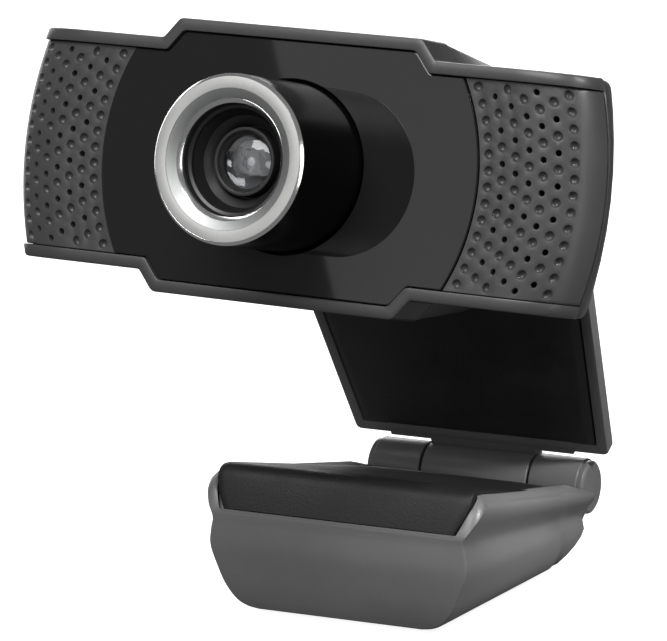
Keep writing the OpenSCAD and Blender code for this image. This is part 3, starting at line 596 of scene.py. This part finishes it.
tube_black = spun(
    "anodised_black", (0.004, 0.004, 0.0042), 0.22, metal=0.0, Specular_IOR_Level=0.3
)
hood_black = spun("hood_black", (0.012, 0.012, 0.012), 0.36, 0.5, 0.01, 0.0)
silver = spun("spun_silver", (0.62, 0.62, 0.61), 0.5, 0.16, 0.002)
cone_silver = spun("cone_silver", (0.4, 0.41, 0.405), 0.5, 0.16, 0.002)
bright_cut = spun("diamond_cut_silver", (0.95, 0.95, 0.95), 0.16, 0.1, 0.0005)
tube = solid("focus_tube_body", [turned([
    (9.6, TUBE_FRONT + 1.4), (9.9, TUBE_FRONT + 1.4), (9.9, TUBE_FRONT + 0.42),
    (TUBE_R, TUBE_FRONT + 0.42), (TUBE_R, 2.8), (TUBE_R + 1.1, 2.8), (TUBE_R + 1.1, TUBE_BACK),
    (9.6, TUBE_BACK)], 0.08, 128)], head_at, "focus_ring", tube_black)
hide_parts("focus_tube")
ring = solid("trim_ring_face", [turned([
    (9.02, TUBE_FRONT), (10.48, TUBE_FRONT), (10.48, TUBE_FRONT + 0.5), (9.85, TUBE_FRONT + 0.5),
    (9.85, TUBE_FRONT + 1.38), (9.02, TUBE_FRONT + 1.38)], 0.02, 160)],
    head_at, "focus_ring", silver)
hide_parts("trim_ring")
solid("trim_ring_cone", [turned([
    (7.76, TUBE_FRONT + 0.62), (9.0, TUBE_FRONT + 0.03), (9.0, TUBE_FRONT + 1.38),
    (7.76, TUBE_FRONT + 1.38)], 0.02, 160)], head_at, "focus_ring", cone_silver)
solid("trim_ring_bevels", [
    turned([(10.5, TUBE_FRONT - 0.01), (TUBE_R - 0.02, TUBE_FRONT + 0.36),
            (TUBE_R - 0.02, TUBE_FRONT + 0.41), (10.5, TUBE_FRONT + 0.41)], 0.02, 160),
    turned([(7.76, TUBE_FRONT + 0.6), (7.76, TUBE_FRONT + 1.38), (7.22, TUBE_FRONT + 1.38),
            (7.22, TUBE_FRONT + 1.06)], 0.03, 160)],
    head_at, "focus_ring", bright_cut)
hood = solid("lens_hood_cone", [turned([
    (7.2, TUBE_FRONT + 1.42), (9.55, TUBE_FRONT + 1.42), (9.55, -8.6), (6.9, -2.6), (6.1, -2.6),
    (6.1, -8.6), (4.78, -8.6), (4.78, -9.9), (5.9, -10.7), (6.55, -12.2), (6.6, -12.6),
    (7.05, -12.75)], 0.12, 128)],
    head_at, "focus_ring", hood_black)
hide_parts("lens_hood")

# ---- Lens -------------------------------------------------------------------------------------
# A threaded M12 lens: black barrel with a rounded lip, a coated domed front glass, and behind
# it the pale second element in its square-cut mask with two bright retaining pips.
LIP_Y = TUBE_FRONT + 4.2
barrel_black = spun("barrel_black", (0.02, 0.02, 0.02), 0.33, 0.3, 0.006, 0.0)
barrel = solid("lens_barrel_body", [turned([
    (3.4, LIP_Y + 1.5), (3.45, LIP_Y + 0.85), (3.75, LIP_Y + 0.45), (3.95, LIP_Y), (4.4, LIP_Y),
    (4.4, -8.2), (6.0, -8.2), (6.0, 5.6), (2.6, 5.6), (2.6, 4.6), (3.4, 4.6)], 0.16, 128)],
    head_at, "lens", barrel_black)
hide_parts("lens_barrel")
glass = bpy.data.materials.new("coated_glass")
glass.use_nodes = True
glass_shader = glass.node_tree.nodes["Principled BSDF"]
for socket, value in (
    ("Base Color", (0.95, 0.96, 0.97, 1)), ("Roughness", 0.02), ("IOR", 1.5),
    ("Transmission Weight", 1.0), ("Coat Weight", 0.15), ("Coat Roughness", 0.02),
    ("Coat Tint", (0.96, 0.97, 1.0, 1)),
):
    glass_shader.inputs[socket].default_value = value


def dome(radius, rim_y, rise, base_y):
    """Outline of a domed disc: front dome, straight rim, flat back."""
    front = [(radius * t, rim_y - rise * (1 - t * t)) for t in (0, 0.2, 0.4, 0.6, 0.8, 1)]
    return front + [(radius, base_y), (0, base_y)]


front_glass = solid("front_glass", [turned(dome(3.4, LIP_Y + 1.35, 0.75, LIP_Y + 2.0), 0.02, 96)],
                    head_at, "lens", glass, 50)
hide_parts("front_element")
milky = finish_of("second_element", (0.13, 0.13, 0.13), 0.3, 0.8, 0.004, 0.25)
SQUARENESS, MASK_HEIGHT = 0.62, 0.86  # 1 would be round; height is a share of the width
mask = []
for y, size in (
    (LIP_Y + 3.0, 2.3), (LIP_Y + 2.7, 2.25), (LIP_Y + 2.45, 1.9), (LIP_Y + 2.3, 1.1),
    (LIP_Y + 2.26, 0.3),
):
    mask.append([
        (math.copysign(abs(math.cos(t)) ** SQUARENESS, math.cos(t)) * size,
         y, math.copysign(abs(math.sin(t)) ** SQUARENESS, math.sin(t)) * size * MASK_HEIGHT)
        for t in (2 * math.pi * i / 48 for i in range(48))
    ])
solid("second_element_face", [moved(loft(mask), (0.1, 0, 0.45))],
      head_at, "lens", milky)
pale = finish_of("retaining_pips", (0.42, 0.42, 0.42), 0.25, 0.5, 0.002, 0.2)
solid("lens_pips", [
    moved(turned(dome(0.62, LIP_Y + 2.35, 0.25, LIP_Y + 2.6), 0.02, 32), (0.0, 0, 0.1)),
    moved(turned(dome(0.48, LIP_Y + 2.35, 0.25, LIP_Y + 2.6), 0.02, 32), (2.2, 0, -0.05))],
    head_at, "lens", pale, 50)

# ---- Plate ------------------------------------------------------------------------------------
# The clip's upper plate: a grey moulded tray with a thin rim, a knuckle at its foot, and the
# boss of the swivel at its top. A black rubber sheet with a chamfered edge fills the tray.
clip_pos, swivel_pos = (Vector(joint[n]["pos_m"]) for n in ("clip_fold", "head_swivel"))
CLIP_LEAN = math.radians(29.2)
clip_at = placed(clip_pos, (1, 0, 0), (0, -math.cos(CLIP_LEAN), -math.sin(CLIP_LEAN)))
PLATE_HALF_W, PLATE_TAPER, PLATE_Z0, PLATE_Z1 = 18.8, 0.088, 4.8, 46.0
PLATE_FRONT, PLATE_BACK = 1.6, 4.0
BARREL_R, MID_HALF, BARREL_HALF, SKIRT_HALF_W = 4.0, 8.0, 15.6, 14.0


def plate_ring(inset, y):
    """The plate's outline at a depth, drawn in; its upper corners are rounder."""
    low, high = PLATE_Z0 + inset, PLATE_Z1 - inset
    w0, w1 = (PLATE_HALF_W + PLATE_TAPER * z - inset for z in (low, high))
    radii = [max(0.25, 0.9 - 0.4 * inset)] * 2 + [max(0.4, 3 - inset)] * 2
    loop = rounded([(-w0, low), (w0, low), (w1, high), (-w1, high)], radii)
    return [(p.x, y, p.y) for p in loop]


def barrel_run(x0, x1, r=BARREL_R):
    """One knuckle of the hinge barrel, with its end edges eased."""
    return turned([(0, x0), (r, x0), (r, x1), (0, x1)], 0.25, 64, "x")


def web(x0, x1, outline):
    """A rib between a knuckle and what carries it."""
    return bar(outline, x0, x1, 0.15)


frame_grey = finish_of("plate_grey_abs", (0.13, 0.13, 0.132), 0.38, grain=0.2, relief=0.01)
tilt_axis = Vector(joint["head_tilt"]["axis"])
neck_at = placed(swivel_pos, tilt_axis, tilt_axis.cross(Vector((0, 0, 1))))
to_clip = clip_at.inverted() @ neck_at
BOSS_R, SWIVEL_PIN_R, BOSS_H = 6, 2.0, 6
boss = turned([(SWIVEL_PIN_R, -BOSS_H), (BOSS_R, -BOSS_H), (BOSS_R, -0.02), (SWIVEL_PIN_R, -0.02)],
              0.4, 64, "z")
boss = ([(to_clip @ (Vector(p) / 1000)) * 1000 for p in boss[0]], boss[1])
tray = solid("plate_tray", [
    loft([plate_ring(3.6, 3.65), plate_ring(3.4, 3.7), plate_ring(3.1, PLATE_BACK - 0.04),
          plate_ring(2.9, PLATE_BACK), plate_ring(0.4, PLATE_BACK), plate_ring(0.1, 3.88),
          plate_ring(0, 3.6), plate_ring(0, 1.95), plate_ring(0.1, 1.7), plate_ring(0.34, PLATE_FRONT),
          plate_ring(1.36, PLATE_FRONT), plate_ring(1.54, 1.68), plate_ring(1.6, 1.9),
          plate_ring(1.62, 2.78)]),
    barrel_run(-MID_HALF, MID_HALF),
    web(-MID_HALF + 0.1, MID_HALF - 0.1, [(1.7, 0.4), (3.95, 0.4), (3.95, 6.6), (1.7, 6.6)]),
    web(-SKIRT_HALF_W, SKIRT_HALF_W, [(1.66, 4.4), (3.9, 4.4), (3.9, 6.6), (1.66, 6.6)]),
    boss,
], clip_at, "plate", frame_grey)
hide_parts("plate_frame")
rubber = finish_of(
    "black_rubber", (0.0075, 0.0075, 0.0078), 0.5,
    grain=0.3, relief=0.03, clouds=0.35, Specular_IOR_Level=0.3,
)
liner_rubber = finish_of(
    "liner_rubber", (0.02, 0.02, 0.0205), 0.6, grain=0.3, relief=0.03, clouds=0.35
)
liner = solid("plate_rubber_sheet", [
    loft([plate_ring(1.8, 2.75), plate_ring(1.8, 1.8), plate_ring(1.86, 1.64), plate_ring(2.65, 1.26),
          plate_ring(2.85, 1.2), plate_ring(3.5, 1.17)])
], clip_at, "plate", liner_rubber, 24)
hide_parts("plate_liner")

# ---- Neck -------------------------------------------------------------------------------------
# Small black block between the plate's swivel and the head's tilt lugs: an eye that turns on
# the swivel pin and a knuckle held between the lugs by a screw and nut.
KNUCKLE_R, KNUCKLE_HALF, NECK_REACH, NECK_RISE = 4.1, 4.8, 11.9, 5.1
KNUCKLE_BORE_R, EYE_LOW, EYE_HIGH = 1.56, 0.35, 7.35
knuckle = turned([
    (KNUCKLE_BORE_R, -KNUCKLE_HALF), (KNUCKLE_R, -KNUCKLE_HALF), (KNUCKLE_R, KNUCKLE_HALF),
    (KNUCKLE_BORE_R, KNUCKLE_HALF)], 0.3, 64, "x")
neck = solid("neck_block_body", [
    turned([(2.05, EYE_LOW), (BOSS_R, EYE_LOW), (BOSS_R, EYE_HIGH), (2.05, EYE_HIGH)],
           0.4, 64, "z"),
    moved(knuckle, (0, -NECK_REACH, NECK_RISE)),
    web(-KNUCKLE_HALF + 0.7, KNUCKLE_HALF - 0.7, rounded([
        (-NECK_REACH, 1.5), (-3, 1.5), (-3, 7.2), (-NECK_REACH, 8.6)], 0.5)),
], neck_at, "neck", black_abs)
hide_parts("neck_block")

# ---- Foot shell -------------------------------------------------------------------------------
# Wedge-shaped grey moulding of the foot. Its sides flare into two horns that hold the pad, with
# a hollow running back under each horn, and it carries the outer knuckles of the hinge.
FOOT_FRONT, FOOT_REAR, FOOT_FLOOR = -24.4, 22.95, 0.45
FRONT_TOP, HORN_BRIM = 13.97, 1.0
SIDE_FRONT = ((11.9, 0.45), (13.6, 0.75), (15.15, 1.6), (16.7, 3.6), (17.9, 6.4), (18.75, 9.0), (18.6, 11.2),
              (18.35, 12.8), (18.95, 14.4), (19.8, 16.1), (20.12, 17.3), (19.95, 18.1), (19.4, 18.6))
SIDE_REAR = ((15.3, 0.45), (15.9, 0.6), (16.5, 1.2), (16.95, 2.2), (17.1, 3.4), (16.8, 4.5), (16.2, 5.2),
             (16.0, 5.9), (16.5, 6.8), (17.3, 7.9), (17.45, 8.6), (17.3, 9.1), (16.9, 9.3))
HORN_EDGE = ((-24.4, 13.9), (-23.5, 15.1), (-22.4, 16.2), (-21.2, 17.0), (-19.8, 17.45),
             (-18.4, 17.55))
REAR_RISE = ((10.5, 0), (14, 1.45), (17, 2.7), (19.7, 3.9), (21.4, 5.2), (22.0, 6.3),
             (22.95, 8.0))


def between(table, at):
    """Straight-line value from a table of (place, value)."""
    for (p0, v0), (p1, v1) in zip(table, table[1:]):
        if at <= p1:
            return v0 + (v1 - v0) * max(0, (at - p0) / (p1 - p0))
    return table[-1][1]


def smooth_line(points, u):
    """Point at u from 0 to 1 on a Catmull-Rom line through the points."""
    n = len(points) - 1
    i = min(n - 1, int(u * n))
    t = u * n - i
    p = [Vector(points[min(n, max(0, i + k))]) for k in (-1, 0, 1, 2)]
    return 0.5 * (2 * p[1] + (p[2] - p[0]) * t + (2 * p[0] - 5 * p[1] + 4 * p[2] - p[3]) * t**2
                  + (3 * p[1] - p[0] - 3 * p[2] + p[3]) * t**3)


def side_line(y, count=34, inset=0.0):
    """The foot's right side at a depth y, from its floor edge up to its top edge."""
    t = (y - FOOT_FRONT) / (FOOT_REAR - FOOT_FRONT)
    marks = [Vector(a) * (1 - t) + Vector(b) * t for a, b in zip(SIDE_FRONT, SIDE_REAR)]

    def height_at(z):
        low, high = 0.0, 1.0
        for _ in range(24):
            mid = (low + high) / 2
            low, high = (mid, high) if smooth_line(marks, mid).y < z else (low, mid)
        return low

    top = height_at(between(HORN_EDGE, y)) if y < HORN_EDGE[-1][0] else 1.0
    start = height_at(FOOT_FLOOR + between(REAR_RISE, y)) if y > REAR_RISE[0][0] else 0.0
    out = []
    for i in range(count):
        p = smooth_line(marks, start + (top - start) * i / (count - 1))
        out.append((p.x - inset, p.y + inset * 0.8 * (1 - 2 * i / (count - 1))))
    return out


def front_lean(z):
    """How far the front face draws back at a height: bowed in towards the desk."""
    return 0.9 * max(0, (11 - z) / 11) ** 2


PLAIN_STATIONS = (
    -24.0, -23.4, -22.8, -22.1, -21.3, -20.4, -19.4, -18.2, -14, -9, -4, 1, 6, 10.5, 12.5,
    14.5, 16.5, 18.5, 20, 21.2, 22.1,
)
stations = [(-24.4, 0.36), (-24.28, 0.12), *((y, 0) for y in PLAIN_STATIONS), (22.7, 0.1), (22.95, 0.35)]
foot_rings = []
for y, inset in stations:
    side = side_line(y, 34, inset)
    x, z = side[-1]
    brim = HORN_BRIM * max(0.08, min(1, (y - FOOT_FRONT) / 1.6, (FOOT_REAR - y) / 8))
    side += [(x - 0.12, z + 0.3 * brim), (x - 0.6, z + 0.8 * brim), (x - 1.2, z + brim),
             (x - 1.45, z + 0.75 * brim), (x - 1.55, FRONT_TOP if y < -24.1 else z - 1.3)]
    fade = max(0, min(1, (-18 - y) / 6))
    ring_points = [(px, y + front_lean(pz) * fade, pz) for px, pz in side]
    foot_rings.append(ring_points + [(-px, py, pz) for px, py, pz in reversed(ring_points)])
foot_points, foot_faces = loft(foot_rings, caps=False)
ring_n = len(foot_rings[0])
last = (len(foot_rings) - 1) * ring_n
for i in range(ring_n // 2 - 1):
    foot_faces.append((i, i + 1, ring_n - 2 - i, ring_n - 1 - i))
    foot_faces.append((last + i + 1, last + i, last + ring_n - 1 - i, last + ring_n - 2 - i))
# The foot's grey is set lighter than the head's grey: painted light that stands in for the light falling on
# the foot's sides.
foot_grey_painted_lighter = finish_of("foot_grey_abs_painted_lighter", (0.12, 0.12, 0.122), 0.4, grain=0.2, relief=0.01)
root = Matrix.Identity(4)
foot = solid("foot_shell_body", [(foot_points, foot_faces)], root, "foot", foot_grey_painted_lighter, 38)
cover_low, cover_high = (v * 1000 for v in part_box("foot_base_cover"))
pocket = loft([[(x, y, z) for x, y in (
    (cover_low.x - 0.1, cover_low.y - 0.1), (cover_high.x + 0.1, cover_low.y - 0.1),
    (cover_high.x + 0.1, cover_high.y + 0.1), (cover_low.x - 0.1, cover_high.y + 0.1))] for z in (-1, 8.4)])
cut(foot, [pocket])
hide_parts("foot_shell")
hinge_z, hinge_y = clip_pos.z * 1000, clip_pos.y * 1000
KNUCKLE_GAP = 0.35
HINGE_RIB = [(17.5, 4.9), (22.6, 5.8), (24.4, 6.2), (24.2, 9.6), (17.5, 9.4)]
ends = []
for s in (1, -1):
    x0, x1 = sorted((s * (MID_HALF + KNUCKLE_GAP), s * (BARREL_HALF - 0.05)))
    ends.append(moved(barrel_run(x0, x1), (0, hinge_y, hinge_z)))
    ends.append(web(x0 + 0.1, x1 - 0.1, HINGE_RIB))
solid("foot_hinge_knuckles", ends, root, "foot", frame_grey)
CAP_R = 3.72
for s, node in ((1, "hinge_cap_right"), (-1, "hinge_cap_left")):
    x = s * BARREL_HALF
    cap = turned([(0, x - s * 0.5), (CAP_R, x - s * 0.5), (CAP_R, x + s * 0.62),
                  (3.3, x + s * 0.9), (0, x + s * 1.0)], 0.2, 64, "x")
    disc = solid(node + "_disc", [moved(cap, (0, hinge_y, hinge_z))], root, "foot", frame_grey)
    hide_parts(node)

# ---- Foot pad ---------------------------------------------------------------------------------
# Soft black rubber pad that grips the back of a screen. It folds over the foot's front ridge,
# is crowned along its middle and falls away at its rounded edges.
PAD_PATH = rounded([(-24.22, 14.08), (-21.6, 19.75), (19.1, 10.3)], [0, 2.6, 0], 10, closed=False)
PAD_WIDTH = ((14.0, 16.85), (16.2, 18.0), (17.6, 18.5), (19.0, 18.55), (19.8, 18.4))
PAD_RIDGE_Y = -20.6
PAD_RIDGE_HALF_W, PAD_NARROWING = 18.3, 1.35  # half width at the ridge, and its loss to the rear
pad_line = [PAD_PATH[0], PAD_PATH[0].lerp(PAD_PATH[1], 0.5), *PAD_PATH[1:-1]]
pad_line += [pad_line[-1].lerp(PAD_PATH[-1], i / 12) for i in range(1, 13)]
pad_rings = []
for i, p in enumerate(pad_line):
    step = pad_line[min(len(pad_line) - 1, i + 1)] - pad_line[max(0, i - 1)]
    out = Vector((-step.y, step.x)).normalized()
    if p.x < PAD_RIDGE_Y:
        half_w = between(PAD_WIDTH, p.y)
    else:
        half_w = PAD_RIDGE_HALF_W - PAD_NARROWING * (p.x - PAD_RIDGE_Y) / 40
    lift = -0.18 if i in (0, len(pad_line) - 1) else 0
    section = [(half_w - 0.35, -1.2), (half_w, -1.0), (half_w, -0.5), (half_w - 0.1, -0.2),
               (half_w - 0.4, -0.03), (half_w - 1.2, 0.04), (half_w - 4, 0.14),
               (half_w * 0.45, 0.2), (0, 0.22)]
    right = [(x, p.x + out.x * (h + lift), p.y + out.y * (h + lift)) for x, h in section]
    pad_rings.append(right + [(-x, y, z) for x, y, z in reversed(right[:-1])])
pad = solid("foot_rubber_pad", [loft(pad_rings)], root, "foot", rubber, 40)
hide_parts("foot_pad")

# ---- Parts shown as machined ------------------------------------------------------------------
# Screws, nuts, washers, pins, bushes, the brass tripod insert, the boards and the optics behind
# the front glass keep their own shapes and take the finish of what they are made of.
steel = finish_of("plated_steel", (0.55, 0.55, 0.56), 0.28, 0.3, 0.004, 0.08, Metallic=1.0)
brass = finish_of("insert_brass", (0.62, 0.44, 0.18), 0.3, 0.3, 0.004, 0.1, Metallic=1.0)
acetal = finish_of("natural_acetal", (0.72, 0.7, 0.64), 0.45, 0.3, 0.004, 0.05)
moulded_black = finish_of("plain_black_plastic", (0.024, 0.024, 0.025), 0.5, 0.25, 0.012, 0.15)
cloth = finish_of("speaker_cloth", (0.012, 0.012, 0.013), 0.9, 0.3, 0.05, 0.3)
green = finish_of("solder_mask", (0.02, 0.11, 0.045), 0.35, 0.8, 0.006, 0.15)
ceramic = finish_of("ceramic_parts", (0.35, 0.26, 0.16), 0.5, 0.4, 0.004, 0.2)
sensor_glass = finish_of("sensor_window", (0.05, 0.06, 0.09), 0.08, 0.6, 0.001, 0.2)
pink_glass = finish_of("filter_glass", (0.25, 0.06, 0.1), 0.08, 0.8, 0.001, 0.1)
tape = finish_of("adhesive_tape", (0.05, 0.05, 0.05), 0.8, 0.4, 0.01, 0.15)
for material, slot, names in (
    (steel, "plated_steel", "foot_screws hinge_pin swivel_pin swivel_washer swivel_nut tilt_screw "
     "tilt_nut tilt_washers holder_screws board_screws shell_screws retainer_screws"),
    (steel, "microphone_can", "microphones"),
    (brass, "insert_brass", "tripod_insert"),
    (acetal, "natural_acetal", "hinge_bush cable_socket"),
    (moulded_black, "black_plastic", "foot_base_cover lens_holder focus_retainer lens_retainer "
     "aperture_stop"),
    (rubber, "soft_rubber", "microphone_boots"),
    (cloth, "speaker_cloth", "acoustic_cloth"),
    (green, "board_green", "main_board"),
    (moulded_black, "chip_black", "video_chip"),
    (ceramic, "ceramic_tan", "board_components"),
    (sensor_glass, "sensor_glass", "image_sensor"),
    (pink_glass, "filter_glass", "infrared_filter"),
    (tape, "adhesive_tape", "faceplate_tape"),
    (glass, "lens_glass", "inner_elements rear_element"),
):
    for name in names.split():
        node = frame["nodes"][name]
        node.data.materials.clear()
        node.data.materials.append(material)

# ---- Foot sole --------------------------------------------------------------------------------
# Thin black rubber sheet under the foot that stops it sliding. It is die cut round the tripod
# hole and the four base screws, with eased edges.
INSERT_CLEAR_R, SCREW_CLEAR_R, SCREW_X, SCREW_IN = 5.2, 1.9, 7.2, 3.0
sole_low, sole_high = (v * 1000 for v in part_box("foot_sole"))


def sole_ring(inset, z):
    x0, x1 = sole_low.x + inset, sole_high.x - inset
    y0, y1 = sole_low.y + inset, sole_high.y - inset
    return [(p.x, p.y, z) for p in rounded([(x0, y0), (x1, y0), (x1, y1), (x0, y1)], 1.2)]


def punched(radius, steps):
    return turned([(0, -1), (radius, -1), (radius, 3), (0, 3)], 0, steps, "z")


sole_rings = [sole_ring(0.3, 0), sole_ring(0.08, 0.08), sole_ring(0, 0.3), sole_ring(0, 0.79)]
sole = solid("foot_rubber_sole", [loft(sole_rings)], root, "foot", rubber)
cut(sole, [punched(INSERT_CLEAR_R, 64)] + [
    moved(punched(SCREW_CLEAR_R, 32), (x, y, 0))
    for x in (-SCREW_X, SCREW_X) for y in (sole_low.y + SCREW_IN, sole_high.y - SCREW_IN)
])
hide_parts("foot_sole")

# ---- Cable gland ------------------------------------------------------------------------------
# Soft rubber collar pressed into the hole in the rear shell where a cable would leave. A groove
# round its middle holds it in the wall.
GLAND_PLACE = (26, 0, -5)
collar = solid("cable_gland_collar", [moved(turned([
    (1.6, 12.9), (3.3, 12.9), (3.3, 13.8), (2.6, 13.8), (2.6, 15.42), (3.3, 15.42), (3.3, 16.2),
    (2.9, 16.6), (1.6, 16.6)], 0.15, 48), GLAND_PLACE)], head_at, "head", rubber)
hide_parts("cable_gland")

# ---- Floor, light and camera ------------------------------------------------------------------
# A white table and a pale sky, three soft boxes, a small lamp on the foot's side, and three pale
# cards that lie in the gloss of the faceplate and tube. These are placed in metres.
def emitter(name, colour, strength):
    m = bpy.data.materials.new(name)
    m.use_nodes = True
    shader = m.node_tree.nodes["Principled BSDF"]
    shader.inputs["Base Color"].default_value = (0.8, 0.8, 0.8, 1)
    shader.inputs["Roughness"].default_value = 0.9
    shader.inputs["Emission Color"].default_value = (*colour, 1)
    shader.inputs["Emission Strength"].default_value = strength
    return m


def sheet_at(name, centre, normal, width, height, roll, material):
    """A flat card facing a direction."""
    mesh = bpy.data.meshes.new(name)
    w, h = width / 2, height / 2
    mesh.from_pydata([(-w, -h, 0), (w, -h, 0), (w, h, 0), (-w, h, 0)], [], [(0, 1, 2, 3)])
    mesh.materials.append(material)
    obj = bpy.data.objects.new(name, mesh)
    bpy.context.scene.collection.objects.link(obj)
    facing = Vector(normal).to_track_quat("Z", "Y").to_matrix().to_4x4()
    obj.matrix_world = Matrix.Translation(centre) @ facing @ Matrix.Rotation(roll, 4, "Z")
    return obj


def toward(azimuth, elevation):
    """Unit vector to a place at a compass angle from the front and a height, in degrees."""
    a, e = math.radians(azimuth), math.radians(elevation)
    return Vector((math.sin(a) * math.cos(e), -math.cos(a) * math.cos(e), math.sin(e)))


TABLE_SIZE, TABLE_DROP = 8, 0.0002
floor = sheet_at("floor", (0, 0, -TABLE_DROP), (0, 0, 1), TABLE_SIZE, TABLE_SIZE, 0,
                 emitter("white_table", (1, 1, 1), 0.9))
floor.visible_diffuse = False
floor.visible_glossy = False
head_centre = Vector(joint["focus_turn"]["pos_m"])


def soft_box(name, azimuth, elevation, distance, width, height, power):
    """A rectangular light aimed at the head."""
    light = bpy.data.lights.new(name, "AREA")
    light.shape, light.size, light.size_y, light.energy = "RECTANGLE", width, height, power
    obj = bpy.data.objects.new(name, light)
    bpy.context.scene.collection.objects.link(obj)
    way = toward(azimuth, elevation)
    facing = way.to_track_quat("Z", "Y").to_matrix().to_4x4()
    obj.matrix_world = Matrix.Translation(head_centre + way * distance) @ facing
    return obj


soft_box("key_box", -8, 50, 0.9, 0.7, 0.45, 8.5)
front_box = soft_box("front_box", 4, 18, 1.0, 0.3, 0.16, 1.7)
front_box.visible_glossy = False
soft_box("back_box", -158, 14, 1.0, 0.5, 0.2, 1.8)
foot_lamp = bpy.data.lights.new("foot_side_lamp", "SPOT")
foot_lamp.energy, foot_lamp.spot_size, foot_lamp.spot_blend = 9, math.radians(13), 0.5
foot_lamp.shadow_soft_size = 0.03
FOOT_SIDE, LAMP_DISTANCE = Vector((0.012, -0.002, 0.006)), 0.35
lamp_way = toward(78, 44)
lamp_facing = lamp_way.to_track_quat("Z", "Y").to_matrix().to_4x4()
foot_lamp_obj = bpy.data.objects.new("foot_side_lamp", foot_lamp)
bpy.context.scene.collection.objects.link(foot_lamp_obj)
foot_lamp_obj.matrix_world = Matrix.Translation(FOOT_SIDE + lamp_way * LAMP_DISTANCE) @ lamp_facing
CARD_DISTANCE = 1.2
for name, azimuth, elevation, width, height, roll, glow in (
    ("reflected_card", -21.5, 12, 0.5, 1.0, -24, 0.72),
    ("right_strip_card", 57, 8, 0.3, 0.8, 0, 2.2),
    ("rear_left_strip_card", -123, 8, 0.3, 0.8, 0, 2.2),
):
    card_way = toward(azimuth, elevation)
    card = sheet_at(name, head_centre + card_way * CARD_DISTANCE, -card_way, width, height,
                    math.radians(roll), emitter(name, (1, 1, 1), glow))
    card.visible_diffuse = False
    card.visible_camera = False
world = bpy.data.worlds.new("pale_sky")
bpy.context.scene.world = world
world.use_nodes = True
sky = world.node_tree.nodes["Background"]
sky.inputs["Color"].default_value = (1, 1, 1, 1)
sky.inputs["Strength"].default_value = 0.16
scene = bpy.context.scene
scene.view_settings.view_transform = "Standard"

CAMERA_AZIMUTH, CAMERA_ELEVATION, CAMERA_DISTANCE = 25.41, 12.14, 0.6385
FOCAL_LENGTH, SENSOR_WIDTH = 268.8, 36
AIM_RIGHT, AIM_DOWN = 0.0061, 0.0197
back = toward(CAMERA_AZIMUTH, CAMERA_ELEVATION)
right = Vector((math.cos(math.radians(CAMERA_AZIMUTH)), math.sin(math.radians(CAMERA_AZIMUTH)), 0))
up = back.cross(right)
aim = head_centre + right * AIM_RIGHT - up * AIM_DOWN
camera_data = bpy.data.cameras.new("camera")
camera_data.lens, camera_data.sensor_width = FOCAL_LENGTH, SENSOR_WIDTH
camera_data.clip_start, camera_data.clip_end = 0.05, 20
camera = bpy.data.objects.new("camera", camera_data)
scene.collection.objects.link(camera)
camera_turn = Matrix((right, up, back)).transposed().to_4x4()
camera.matrix_world = Matrix.Translation(aim + back * CAMERA_DISTANCE) @ camera_turn
scene.camera = camera
